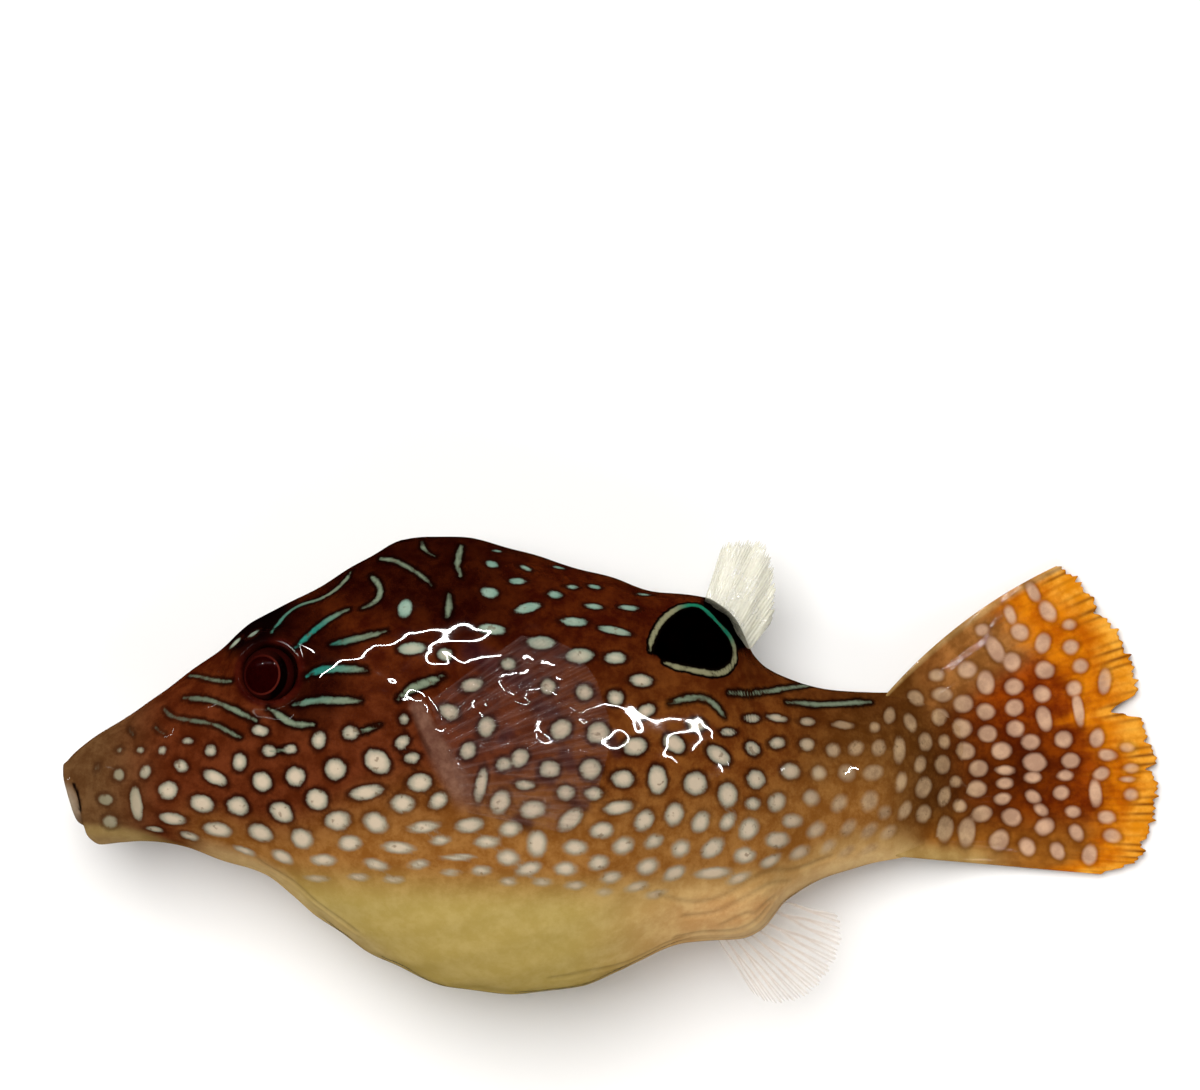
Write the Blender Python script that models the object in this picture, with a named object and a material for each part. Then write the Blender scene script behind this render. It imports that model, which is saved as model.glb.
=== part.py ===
"""Spotted sharpnose puffer lying on its right side: a still, life-size model.

The head points to -X, the back to +Y and the left side faces up. The origin is on
the floor, under the middle of the fish. All sizes are in metres.
"""

import math

import bmesh
import bpy
from mathutils import Matrix, Vector

MM = 0.001

# Places along the fish and up its flank are in read millimetres: where they seem to
# lie on the floor, seen from this point over it. What lies higher looks larger from
# there, so a real place is nearer the point under the eye by its height.
EYE_POINT = (28.4, 11.9)
EYE_POINT_HEIGHT = 450.0

# Gap between pieces that touch on the real fish
GAP = 0.3 * MM

# Outline of the body, in read millimetres: (station, along, up) along the back and
# along the belly. The zero is the tip of the snout, at the level of the body's axis.
BACK_LINE = (
    (0.0, 0.62, -1.2), (0.25, 0.22, -0.85), (0.5, 0.02, -0.3), (0.8, 0.0, 0.25),
    (1.05, 0.22, 0.5), (1.3, 0.56, 0.9), (2.0, 1.40, 1.58), (3.0, 2.80, 2.50),
    (4.1, 4.1, 3.3), (6.2, 6.2, 4.8),
    (8.3, 8.3, 6.3), (10.1, 10.1, 7.9), (13.0, 13.0, 9.4), (16.0, 16.0, 11.2),
    (18.0, 18.0, 12.2), (19.4, 19.4, 12.4), (21.1, 21.1, 12.3), (25.1, 25.1, 11.3),
    (29.15, 29.15, 10.1), (31.6, 31.6, 9.4), (34.1, 34.1, 9.15), (35.0, 35.0, 8.6),
    (35.9, 35.9, 7.4), (36.5, 36.5, 6.1), (37.25, 37.25, 5.4), (39.4, 39.4, 4.5),
    (42.1, 42.1, 4.1), (44.5, 44.5, 3.9), (46.0, 46.0, -0.3),
)
BELLY_LINE = (
    (0.0, 0.62, -1.2), (0.25, 0.50, -1.55), (0.5, 0.52, -2.1), (0.8, 0.80, -2.75),
    (1.05, 1.14, -3.0), (1.3, 1.30, -3.50), (2.0, 2.00, -3.95), (3.0, 3.10, -3.80),
    (4.1, 4.1, -3.7), (6.2, 6.2, -4.0),
    (8.8, 8.8, -4.8), (10.8, 10.8, -5.5), (13.5, 13.5, -7.7), (16.9, 16.9, -9.9),
    (20.5, 20.5, -11.4), (24.0, 24.0, -11.75), (27.35, 27.35, -11.4),
    (30.5, 30.5, -10.05), (33.0, 33.0, -9.05), (35.8, 35.8, -8.85), (36.9, 36.9, -8.4),
    (38.25, 38.25, -6.8), (40.05, 40.05, -5.8), (42.2, 42.2, -5.1),
    (44.5, 44.5, -4.7), (46.0, 46.0, -0.3),
)
# Half of the thickness and the height of the middle plane over the floor, in real
# millimetres at each station
HALF_THICKNESS = (
    (0.0, 0.0), (0.25, 0.55), (0.5, 1.0), (0.8, 1.25), (1.05, 1.3), (1.35, 1.52),
    (2.0, 1.85), (3.0, 2.25), (5.0, 2.9), (8.0, 3.7), (11.0, 4.6), (14.0, 5.5), (17.0, 6.15),
    (20.0, 6.45), (24.0, 6.5), (28.0, 6.1), (32.0, 5.0), (36.0, 3.7), (40.0, 2.5),
    (43.0, 1.9), (44.5, 1.6), (46.0, 0.0),
)
MIDDLE_HEIGHT = (
    (0.0, 5.2), (11.0, 5.5), (18.0, 5.55), (28.0, 5.55), (32.0, 5.3), (36.0, 4.6),
    (40.0, 3.5), (43.5, 2.6), (46.0, 2.2),
)
# Share of the depth, from the belly up, at which the body is thickest
THICKEST_LEVEL = 0.48

# Stations of the rings: close at the lips and on the steep slope behind the hump
STATIONS = (
    0.12, 0.3, 0.5, 0.7, 0.9, 1.05, 1.2, 1.4, 1.7, 2.1, 2.6, 3.1, 3.8, 4.6, 5.5, 6.5, 7.6,
    8.8, 10.0, 11.2, 12.4, 13.7, 15.0, 16.4, 17.9, 19.4, 20.9, 22.5, 24.1, 25.7,
    27.3, 28.9, 30.4, 31.8, 33.0, 34.1, 34.8, 35.4, 35.9, 36.4, 37.0, 37.8, 38.8,
    39.9, 41.1, 42.3, 43.4, 44.5, 45.4,
)
AROUND = 36

# Planes that part the body: the gill slit's slanted one, and the two of the tail
GILL_PLANE_AT = (18.0, 3.6)
GILL_PLANE_SLANT = math.radians(20)
TAIL_STATION = 38.9
TAIL_END = 43.5

# Eye, in read millimetres for its place and real ones for its size
EYE_AT = (11.05, 5.25)
EYE_RADIUS = 1.5
EYE_DEPTH = 1.1
EYE_SUNK = 0.5
LID_WIDTH = 0.27
LID_SPREAD = 0.1

# Nostril, gill slit and mouth
NOSTRIL_AT = (8.5, 5.2)
NOSTRIL_RADIUS = 0.36
NOSTRIL_HEIGHT = 0.3
NOSTRIL_BORE = 0.16
GILL_SLIT_AT = (18.75, 1.55)
GILL_SLIT_SIZE = (0.42, 2.5, 1.1)
MOUTH_AT = (0.62, -1.2)
MOUTH_SIZE = (1.0, 0.14, 0.95)

# Fins: number of rays, half thickness of the membrane and height of a ray's ridge
TAIL_RAYS = 11
BACK_RAYS = 9
ANAL_RAYS = 9
BREAST_RAYS = 14
MEMBRANE_HALF = 0.26
RAY_RIDGE = 0.12
TAIL_RAY_RIDGE = 0.18

BROWN = (0.16, 0.055, 0.024, 1.0)
TAN = (0.35, 0.20, 0.09, 1.0)
RUST = (0.55, 0.17, 0.03, 1.0)
CLEAR = (0.72, 0.64, 0.50, 1.0)
DARK = (0.02, 0.006, 0.005, 1.0)

PARTS = "spotted_sharpnose_puffer"
WORK = "forms_and_cutters"


def start_clean():
    for old in list(bpy.data.objects):
        bpy.data.objects.remove(old, do_unlink=True)
    for name in (PARTS, WORK):
        bpy.context.scene.collection.children.link(bpy.data.collections.new(name))


def through(keys, at, column=1):
    """A smooth curve through hand-chosen keys, read at one station."""
    last = len(keys) - 1
    at = min(max(at, keys[0][0]), keys[last][0])
    spot = 0
    while spot < last - 1 and keys[spot + 1][0] < at:
        spot += 1

    def slope(index):
        if index in (0, last):
            near = 1 if index == 0 else last - 1
            return (keys[near][column] - keys[index][column]) / (keys[near][0] - keys[index][0])
        before, here, after = keys[index - 1], keys[index], keys[index + 1]
        rise_in = (here[column] - before[column]) / (here[0] - before[0])
        rise_out = (after[column] - here[column]) / (after[0] - here[0])
        if rise_in * rise_out <= 0:
            return 0.0
        return 2 * rise_in * rise_out / (rise_in + rise_out)

    first, second = keys[spot], keys[spot + 1]
    width = second[0] - first[0]
    t = (at - first[0]) / width
    return (
        (2 * t**3 - 3 * t**2 + 1) * first[column]
        + (t**3 - 2 * t**2 + t) * width * slope(spot)
        + (3 * t**2 - 2 * t**3) * second[column]
        + (t**3 - t**2) * width * slope(spot + 1)
    )


def real_place(along, up, height, outline_height=None):
    """The real place, in metres, of a read place whose outline lies at some height."""
    seen_at = height if outline_height is None else outline_height
    nearer = 1.0 - seen_at / EYE_POINT_HEIGHT
    x = EYE_POINT[0] + (along - EYE_POINT[0]) * nearer
    y = EYE_POINT[1] + (up - EYE_POINT[1]) * nearer
    return Vector((x, y, max(height, 0.0))) * MM


def body_point(station, angle):
    """A point of the skin: angle 0 is the ridge of the back, 90 degrees the left side."""
    back = Vector((through(BACK_LINE, station, 1), through(BACK_LINE, station, 2)))
    belly = Vector((through(BELLY_LINE, station, 1), through(BELLY_LINE, station, 2)))
    middle = belly.lerp(back, THICKEST_LEVEL)
    reach = math.cos(angle)
    edge = back if reach > 0 else belly
    place = middle.lerp(edge, abs(reach))
    half = through(HALF_THICKNESS, station) * math.sin(angle)
    height = through(MIDDLE_HEIGHT, station)
    return real_place(place.x, place.y, height + half, height)


def flank(along, up, side=1):
    """The point of the skin over a place given in read millimetres, on one side."""
    back = through(BACK_LINE, along, 2)
    belly = through(BELLY_LINE, along, 2)
    middle = belly + THICKEST_LEVEL * (back - belly)
    edge = back if up > middle else belly
    reach = min(abs((up - middle) / (edge - middle)), 1.0)
    half = through(HALF_THICKNESS, along) * math.sqrt(1.0 - reach**2)
    height = through(MIDDLE_HEIGHT, along)
    return real_place(along, up, height + side * half, height)


def flank_normal(along, up, side=1):
    step = 0.25
    run = flank(along + step, up, side) - flank(along - step, up, side)
    rise = flank(along, up + step, side) - flank(along, up - step, side)
    return side * run.cross(rise).normalized()


def material(name, colour, roughness):
    finish = bpy.data.materials.new(name)
    finish.use_nodes = True
    shader = finish.node_tree.nodes["Principled BSDF"]
    shader.inputs["Base Color"].default_value = colour
    shader.inputs["Roughness"].default_value = roughness
    shader.inputs["Metallic"].default_value = 0.0
    return finish


def to_object(bm, name):
    """Turn a bmesh into an object, with every face pointing out."""
    bmesh.ops.recalc_face_normals(bm, faces=bm.faces)
    mesh = bpy.data.meshes.new(name)
    bm.to_mesh(mesh)
    bm.free()
    made = bpy.data.objects.new(name, mesh)
    bpy.data.collections[WORK].objects.link(made)
    return made


def hand_in(made, name, colour, roughness):
    """Name a finished piece, give it its material and put it with the fish."""
    made.name = name
    made.data.name = name
    made.data.materials.clear()
    made.data.materials.append(material(name + "_finish", colour, roughness))
    made.data.shade_smooth()
    made.data.set_sharp_from_angle(angle=math.radians(40))
    for home in list(made.users_collection):
        home.objects.unlink(made)
    bpy.data.collections[PARTS].objects.link(made)
    return made


def whole_body():
    """The body in one piece: a sphere whose rings are set on the stations."""
    bm = bmesh.new()
    bmesh.ops.create_uvsphere(
        bm, u_segments=AROUND, v_segments=len(STATIONS) + 1, radius=1.0
    )
    for vert in bm.verts:
        polar = math.acos(max(-1.0, min(1.0, vert.co.z)))
        ring = round(polar / math.pi * (len(STATIONS) + 1))
        angle = math.atan2(vert.co.y, vert.co.x)
        if ring == 0:
            vert.co = body_point(BACK_LINE[0][0], 0.0)
        elif ring == len(STATIONS) + 1:
            vert.co = body_point(BACK_LINE[-1][0], 0.0)
        else:
            vert.co = body_point(STATIONS[ring - 1], angle)
    return bm


def cut_off(bm, point, outward):
    """Cut everything beyond a plane away and close the cut."""
    geometry = list(bm.verts) + list(bm.edges) + list(bm.faces)
    cut = bmesh.ops.bisect_plane(
        bm, geom=geometry, dist=1e-7, plane_co=point, plane_no=outward, clear_outer=True
    )
    edges = [item for item in cut["geom_cut"] if isinstance(item, bmesh.types.BMEdge)]
    capped = bmesh.ops.holes_fill(bm, edges=edges, sides=0)
    bmesh.ops.triangulate(bm, faces=capped["faces"])


def body_length(name, front, rear):
    """One length of the body between two planes, each given as a point and a slant."""
    bm = whole_body()
    for plane, direction in ((front, -1), (rear, 1)):
        if plane is None:
            continue
        along, up, slant = plane
        outward = direction * Vector((math.cos(slant), math.sin(slant), 0))
        height = through(MIDDLE_HEIGHT, along)
        point = real_place(along, up, height) - outward * (GAP / 2)
        cut_off(bm, point, outward)
    return to_object(bm, name)


def ellipsoid(name, centre, sizes, turn, segments=20, rings=10):
    bm = bmesh.new()
    bmesh.ops.create_uvsphere(bm, u_segments=segments, v_segments=rings, radius=1.0)
    frame = Matrix.Translation(centre) @ turn @ Matrix.Diagonal((*sizes, 1.0))
    bmesh.ops.transform(bm, matrix=frame, verts=bm.verts)
    return to_object(bm, name)


def facing(direction):
    """A rotation that turns the local Z axis to a direction."""
    return direction.to_track_quat("Z", "Y").to_matrix().to_4x4()


def bake(made):
    """Apply the modifiers and keep only the largest closed surface."""
    seen = made.evaluated_get(bpy.context.evaluated_depsgraph_get())
    mesh = bpy.data.meshes.new_from_object(seen)
    made.modifiers.clear()
    made.data = mesh
    bm = bmesh.new()
    bm.from_mesh(mesh)
    bmesh.ops.remove_doubles(bm, verts=bm.verts, dist=2e-6)
    bmesh.ops.dissolve_degenerate(bm, edges=bm.edges, dist=2e-6)
    bmesh.ops.triangulate(bm, faces=bm.faces)
    shells = []
    waiting = set(bm.verts)
    while waiting:
        shell = set()
        edge_of_shell = [waiting.pop()]
        while edge_of_shell:
            vert = edge_of_shell.pop()
            shell.add(vert)
            for link in vert.link_edges:
                other = link.other_vert(vert)
                if other in waiting:
                    waiting.remove(other)
                    edge_of_shell.append(other)
        shells.append(shell)
    largest = max(shells, key=len)
    scraps = [vert for vert in bm.verts if vert not in largest]
    bmesh.ops.delete(bm, geom=scraps, context="VERTS")
    bm.to_mesh(mesh)
    bm.free()


def combine(made, pieces, operation):
    """Join closed pieces to a form, or cut them from it, and remove them."""
    group = bpy.data.collections.new(made.name + "_" + operation.lower())
    bpy.context.scene.collection.children.link(group)
    for piece in pieces:
        bpy.data.collections[WORK].objects.unlink(piece)
        group.objects.link(piece)
    step = made.modifiers.new(operation.lower(), "BOOLEAN")
    step.operation = operation
    step.operand_type = "COLLECTION"
    step.collection = group
    step.solver = "EXACT"
    bake(made)
    for piece in pieces:
        bpy.data.objects.remove(piece, do_unlink=True)
    bpy.data.collections.remove(group)


def eye_frame(side):
    """Centre and outward axis of an eye: it looks out sideways and a little up."""
    out = flank_normal(*EYE_AT, side)
    axis = (out + Vector((0, 0, side)) * 0.8).normalized()
    centre = flank(*EYE_AT, side) - axis * EYE_SUNK * MM
    return centre, axis


def lid(side):
    """The rounded fold of skin round the eye."""
    centre, axis = eye_frame(side)
    bm = bmesh.new()
    major = (EYE_RADIUS + LID_SPREAD) * MM + GAP
    bmesh.ops.create_circle(bm, cap_ends=False, radius=LID_WIDTH * MM, segments=8)
    bmesh.ops.rotate(bm, verts=bm.verts, matrix=Matrix.Rotation(math.pi / 2, 3, "X"))
    bmesh.ops.translate(bm, verts=bm.verts, vec=(major, 0, 0))
    bmesh.ops.spin(
        bm, geom=list(bm.verts) + list(bm.edges), cent=(0, 0, 0), axis=(0, 0, 1),
        angle=2 * math.pi, steps=24, use_merge=True,
    )
    rise = Matrix.Translation(centre + axis * (EYE_SUNK - LID_SPREAD) * MM)
    bmesh.ops.transform(bm, matrix=rise @ facing(axis), verts=bm.verts)
    return to_object(bm, "lid")


def nostril(side, radius, height, sunk):
    """The short tube of the nostril, or with a small radius its bore."""
    axis = flank_normal(*NOSTRIL_AT, side)
    centre = flank(*NOSTRIL_AT, side) + axis * (height - sunk) / 2 * MM
    bm = bmesh.new()
    bmesh.ops.create_cone(
        bm, cap_ends=True, segments=10, radius1=radius * MM * 1.25, radius2=radius * MM,
        depth=(height + sunk) * MM,
    )
    bmesh.ops.transform(bm, matrix=Matrix.Translation(centre) @ facing(axis), verts=bm.verts)
    return to_object(bm, "nostril")


def gill_slit(side):
    """The short opening just ahead of the breast fin, along the parting plane."""
    centre = flank(*GILL_SLIT_AT, side)
    turn = Matrix.Rotation(GILL_PLANE_SLANT, 4, "Z")
    return ellipsoid("gill_slit", centre, [size * MM for size in GILL_SLIT_SIZE], turn)


def socket(side):
    centre, axis = eye_frame(side)
    radius = EYE_RADIUS * MM + GAP
    sizes = (radius, radius, EYE_DEPTH * MM + GAP)
    return ellipsoid("socket", centre, sizes, facing(axis), segments=24, rings=12)


def mouth():
    centre = real_place(*MOUTH_AT, MIDDLE_HEIGHT[0][1])
    return ellipsoid("mouth", centre, [size * MM for size in MOUTH_SIZE], Matrix.Identity(4))


def make_head():
    head = body_length("head", None, (*GILL_PLANE_AT, GILL_PLANE_SLANT))
    folds = [lid(side) for side in (1, -1)]
    folds += [nostril(side, NOSTRIL_RADIUS, NOSTRIL_HEIGHT, 0.5) for side in (1, -1)]
    combine(head, folds, "UNION")
    hollows = [socket(side) for side in (1, -1)]
    hollows += [nostril(side, NOSTRIL_BORE, NOSTRIL_HEIGHT + 0.3, 0.0) for side in (1, -1)]
    hollows += [gill_slit(side) for side in (1, -1)]
    hollows.append(mouth())
    combine(head, hollows, "DIFFERENCE")
    return hand_in(head, "head", BROWN, 0.3)


def make_eye(side, name):
    centre, axis = eye_frame(side)
    sizes = (EYE_RADIUS * MM, EYE_RADIUS * MM, EYE_DEPTH * MM)
    eye = ellipsoid(name, centre, sizes, facing(axis), segments=24, rings=12)
    return hand_in(eye, name, DARK, 0.08)


def fin(name, rays, rows, place, half, ridge=RAY_RIDGE):
    """A fin with its rays raised in both faces of one closed membrane.

    place(across, out) gives the middle of the membrane and its normal, and
    half(across, out) its half thickness in real millimetres. Every other column is a
    ray, and both faces are split into triangles alike.
    """
    columns = 2 * rays - 1
    bm = bmesh.new()
    faces = {}
    for side in (1, -1):
        for column in range(columns):
            for row in range(rows + 1):
                across, out = column / (columns - 1), row / rows
                middle, normal = place(across, out)
                fade = 1.0 - 0.5 * out
                rise = ridge * fade if column % 2 == 0 else 0.0
                spot = middle + normal * side * (half(across, out) + rise) * MM
                spot.z = max(spot.z, 0.0)
                faces[side, column, row] = bm.verts.new(spot)
        for column in range(columns - 1):
            for row in range(rows):
                a = faces[side, column, row]
                b = faces[side, column + 1, row]
                c = faces[side, column + 1, row + 1]
                d = faces[side, column, row + 1]
                for corners in ((a, b, c), (a, c, d)):
                    bm.faces.new(corners if side > 0 else corners[::-1])
    rim = [(column, 0) for column in range(columns)]
    rim += [(columns - 1, row) for row in range(1, rows + 1)]
    rim += [(column, rows) for column in range(columns - 2, -1, -1)]
    rim += [(0, row) for row in range(rows - 1, 0, -1)]
    for here, there in zip(rim, rim[1:] + rim[:1]):
        a, b = faces[(1, *here)], faces[(1, *there)]
        c, d = faces[(-1, *there)], faces[(-1, *here)]
        bm.faces.new((b, a, c))
        bm.faces.new((a, d, c))
    return to_object(bm, name)


# Tail fin: for each place across the base, the ray's height there, its angle in
# degrees and its length, in read millimetres; then the fin's height over the floor
# and half of its fleshy root along the fish.
TAIL_FAN = (
    (0.0, 4.3, 36.6, 11.1), (0.1, 3.4, 31.7, 12.0), (0.2, 2.5, 25.6, 12.75),
    (0.3, 1.6, 20.6, 13.35), (0.4, 0.75, 16.0, 13.6), (0.5, -0.15, 11.2, 13.6),
    (0.6, -1.05, 6.7, 14.1), (0.7, -1.9, 2.9, 14.1), (0.8, -2.8, -0.4, 13.8),
    (0.9, -3.7, -3.4, 13.4), (1.0, -4.55, -5.0, 11.2),
)
TAIL_NOTCH_AT = 0.45
TAIL_NOTCH_DEPTH = 1.5
TAIL_MEMBRANE_SHORT = 0.25
TAIL_BASE = 43.8
TAIL_FIN_HEIGHT = (
    (43.5, 2.65), (45.5, 1.95), (47.5, 1.05), (49.5, 0.50), (51.0, 0.36), (58.5, 0.25),
)
TAIL_ROOT_HALF = ((43.5, 1.35), (45.0, 0.75), (46.8, 0.22), (49.0, 0.0), (58.5, 0.0))
TAIL_BOW = 0.55


def tail_flat(across, out):
    root = Vector((TAIL_BASE, through(TAIL_FAN, across, 1)))
    angle = math.radians(through(TAIL_FAN, across, 2))
    length = through(TAIL_FAN, across, 3)
    if round(across * (2 * TAIL_RAYS - 2)) % 2:
        length -= TAIL_MEMBRANE_SHORT
        if abs(across - TAIL_NOTCH_AT) < 0.01:
            length -= TAIL_NOTCH_DEPTH
    along = Vector((math.cos(angle), math.sin(angle)))
    bow = TAIL_BOW * (1 - across) ** 3 * 4 * out * (1 - out)
    return root + along * length * out + Vector((-along.y, along.x)) * bow


def tail_place(across, out):
    flat = tail_flat(across, out)
    return real_place(*flat, through(TAIL_FIN_HEIGHT, flat.x)), Vector((0, 0, 1))


def tail_half(across, out):
    along = tail_flat(across, out).x
    round_root = math.sqrt(max(0.0, 1 - (2 * across - 1) ** 2))
    edge = 0.10 * out**3
    return MEMBRANE_HALF - edge + through(TAIL_ROOT_HALF, along) * round_root


def make_tail_fin():
    made = fin("caudal_fin", TAIL_RAYS, 10, tail_place, tail_half, TAIL_RAY_RIDGE)
    return hand_in(made, "caudal_fin", RUST, 0.4)


# Upright fins: where their base starts and ends along the outline, and for each
# place across the base the far end of the ray, in read millimetres
BACK_FIN_BASE = (34.0, 36.35)
BACK_FIN_ENDS = (
    (0.0, 34.9, 12.0), (0.25, 36.0, 12.15), (0.45, 36.95, 12.1), (0.6, 37.35, 11.5),
    (0.75, 37.6, 10.6), (0.9, 37.7, 9.2), (1.0, 37.55, 7.9),
)
ANAL_FIN_BASE = (34.6, 38.1)
ANAL_FIN_ENDS = (
    (0.0, 36.5, -11.9), (0.15, 37.6, -12.35), (0.35, 39.0, -12.1), (0.55, 40.1, -11.2),
    (0.75, 40.9, -9.9), (0.9, 41.2, -8.6), (1.0, 41.0, -7.6),
)
FIN_DROOP = 1.1
FIN_ROOT_HALF = 0.18


def outline(line, station):
    return Vector((through(line, station, 1), through(line, station, 2)))


def upright_place(line, base, ends, across, out):
    """A fin that grows from the back or the belly, drooping a little to the floor."""
    station = base[0] + (base[1] - base[0]) * across
    here = outline(line, station)
    tangent = (outline(line, station + 0.1) - outline(line, station - 0.1)).normalized()
    away = Vector((-tangent.y, tangent.x))
    if line is BELLY_LINE:
        away = -away
    root = here + away * GAP / MM
    end = Vector((through(ends, across, 1), through(ends, across, 2)))
    flat = root.lerp(end, out)
    height = through(MIDDLE_HEIGHT, station) - FIN_DROOP * out**1.5
    return real_place(*flat, height), Vector((0, 0, 1))


def upright_half(across, out):
    return MEMBRANE_HALF - 0.06 * out + FIN_ROOT_HALF * (1 - out) ** 4


def make_upright_fins():
    def back(across, out):
        return upright_place(BACK_LINE, BACK_FIN_BASE, BACK_FIN_ENDS, across, out)

    def anal(across, out):
        return upright_place(BELLY_LINE, ANAL_FIN_BASE, ANAL_FIN_ENDS, across, out)

    made = fin("dorsal_fin", BACK_RAYS, 6, back, upright_half)
    hand_in(made, "dorsal_fin", CLEAR, 0.3)
    made = fin("anal_fin", ANAL_RAYS, 6, anal, upright_half)
    hand_in(made, "anal_fin", CLEAR, 0.3)


# Breast fins: the base line down the flank, and the far ends of the rays on the
# upper side and, folded under the body, on the lower side, in read millimetres
BREAST_BASE = ((19.5, 3.7), (21.5, -2.0))
BREAST_ENDS_LEFT = (
    (0.0, 24.2, 6.9), (0.2, 26.4, 6.4), (0.4, 28.0, 4.6), (0.6, 28.7, 2.2),
    (0.8, 28.3, -0.4), (1.0, 26.6, -3.0),
)
BREAST_ENDS_RIGHT = (
    (0.0, 27.2, 3.9), (0.3, 28.2, 3.0), (0.6, 28.5, 1.6), (1.0, 27.9, -0.9),
)
BREAST_LIFT = 0.2
BED_MARGIN = 0.42


def breast_flat(ends, across, out):
    top, low = (Vector(end) for end in BREAST_BASE)
    root = top.lerp(low, across)
    end = Vector((through(ends, across, 1), through(ends, across, 2)))
    return root.lerp(end, out)


def left_breast_place(across, out):
    flat = breast_flat(BREAST_ENDS_LEFT, across, out)
    normal = flank_normal(flat.x, flat.y)
    stand_off = GAP + (breast_half(across, out) + RAY_RIDGE + BREAST_LIFT * out) * MM
    return flank(flat.x, flat.y) + normal * stand_off, normal


def right_breast_place(across, out):
    flat = breast_flat(BREAST_ENDS_RIGHT, across, out)
    height = MEMBRANE_HALF + RAY_RIDGE
    return real_place(*flat, height, MIDDLE_HEIGHT[2][1]), Vector((0, 0, 1))


def breast_half(across, out):
    return MEMBRANE_HALF + 0.14 * (1 - out) ** 4 - 0.04 * out


def right_breast_half(across, out):
    return MEMBRANE_HALF


def fin_bed():
    """The shallow bed that the folded right breast fin presses into the flank."""
    steps = 6
    corners = [breast_flat(BREAST_ENDS_RIGHT, step / steps, 0.0) for step in range(steps + 1)]
    corners += [
        breast_flat(BREAST_ENDS_RIGHT, 1 - step / steps, 1.0) for step in range(steps + 1)
    ]
    middle = sum(corners, Vector((0, 0))) / len(corners)
    bm = bmesh.new()
    ring = []
    for corner in corners:
        spot = corner + (corner - middle).normalized() * BED_MARGIN
        ring.append(bm.verts.new(real_place(*spot, 0.0, MIDDLE_HEIGHT[2][1])))
    bmesh.ops.translate(bm, verts=bm.verts, vec=(0, 0, -GAP))
    base = bm.faces.new(ring)
    grown = bmesh.ops.extrude_face_region(bm, geom=[base])
    tops = [item for item in grown["geom"] if isinstance(item, bmesh.types.BMVert)]
    depth = 2 * (MEMBRANE_HALF + RAY_RIDGE) * MM + 2 * GAP
    bmesh.ops.translate(bm, verts=tops, vec=(0, 0, depth))
    return to_object(bm, "fin_bed")


def make_breast_fins():
    made = fin("pectoral_fin_left", BREAST_RAYS, 8, left_breast_place, breast_half)
    hand_in(made, "pectoral_fin_left", CLEAR, 0.3)
    made = fin("pectoral_fin_right", BREAST_RAYS, 6, right_breast_place, right_breast_half)
    hand_in(made, "pectoral_fin_right", CLEAR, 0.3)


def make_trunk():
    trunk = body_length(
        "trunk", (*GILL_PLANE_AT, GILL_PLANE_SLANT), (TAIL_STATION, 0.0, 0.0)
    )
    hollows = [fin_bed()] + [gill_slit(side) for side in (1, -1)]
    combine(trunk, hollows, "DIFFERENCE")
    return hand_in(trunk, "trunk", BROWN, 0.3)


def make_tail():
    tail = body_length("tail", (TAIL_STATION, 0.0, 0.0), (TAIL_END, 0.0, 0.0))
    bake(tail)
    return hand_in(tail, "tail", TAN, 0.3)


def set_on_origin():
    """Bring the middle of the fish's box over the origin."""
    pieces = bpy.data.collections[PARTS].objects
    corners = [vert.co for piece in pieces for vert in piece.data.vertices]
    low = Vector([min(corner[axis] for corner in corners) for axis in range(3)])
    high = Vector([max(corner[axis] for corner in corners) for axis in range(3)])
    shift = Vector((-(low.x + high.x) / 2, -(low.y + high.y) / 2, -low.z))
    for piece in pieces:
        piece.data.transform(Matrix.Translation(shift))
    print("length, depth, thickness in mm:", [round(size / MM, 2) for size in high - low])


def main():
    start_clean()
    make_head()
    make_trunk()
    make_tail()
    make_eye(1, "eye_left")
    make_eye(-1, "eye_right")
    make_tail_fin()
    make_upright_fins()
    make_breast_fins()
    set_on_origin()
    bpy.data.collections.remove(bpy.data.collections[WORK])


main()
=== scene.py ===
# %% [markdown]
# A spotted sharpnose puffer, life size, lying on its right side as a fresh specimen is
# laid down. It could be sculpted by hand or grown from a block-out. Here every form is
# a simple shape whose points are moved by a few named measures, so that the fish can be
# read, checked and changed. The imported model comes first: it says where all things are.

import math

import bmesh
import bpy
import numpy as np
from mathutils import Matrix, Vector


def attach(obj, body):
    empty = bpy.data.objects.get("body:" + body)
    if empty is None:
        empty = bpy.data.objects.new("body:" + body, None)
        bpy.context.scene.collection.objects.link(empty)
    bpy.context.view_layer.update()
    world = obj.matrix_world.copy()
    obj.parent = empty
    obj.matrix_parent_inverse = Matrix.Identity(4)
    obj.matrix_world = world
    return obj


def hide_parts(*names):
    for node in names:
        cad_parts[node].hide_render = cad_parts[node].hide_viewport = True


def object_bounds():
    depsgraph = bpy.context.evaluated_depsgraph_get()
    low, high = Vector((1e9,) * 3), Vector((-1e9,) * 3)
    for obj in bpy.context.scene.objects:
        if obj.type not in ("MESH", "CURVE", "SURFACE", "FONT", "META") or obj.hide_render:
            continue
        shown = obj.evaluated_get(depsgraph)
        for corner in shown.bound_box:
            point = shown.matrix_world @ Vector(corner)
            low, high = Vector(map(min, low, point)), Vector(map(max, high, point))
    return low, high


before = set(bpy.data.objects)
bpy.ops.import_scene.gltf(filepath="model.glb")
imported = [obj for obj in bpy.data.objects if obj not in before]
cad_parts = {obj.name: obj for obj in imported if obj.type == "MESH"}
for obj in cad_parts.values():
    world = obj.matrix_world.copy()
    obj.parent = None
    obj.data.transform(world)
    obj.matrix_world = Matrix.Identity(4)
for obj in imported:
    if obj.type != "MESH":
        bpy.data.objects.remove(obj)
LOW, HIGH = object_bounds()
MM = 0.001
print("packed size in mm:", [round(size / MM, 1) for size in HIGH - LOW])

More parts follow.
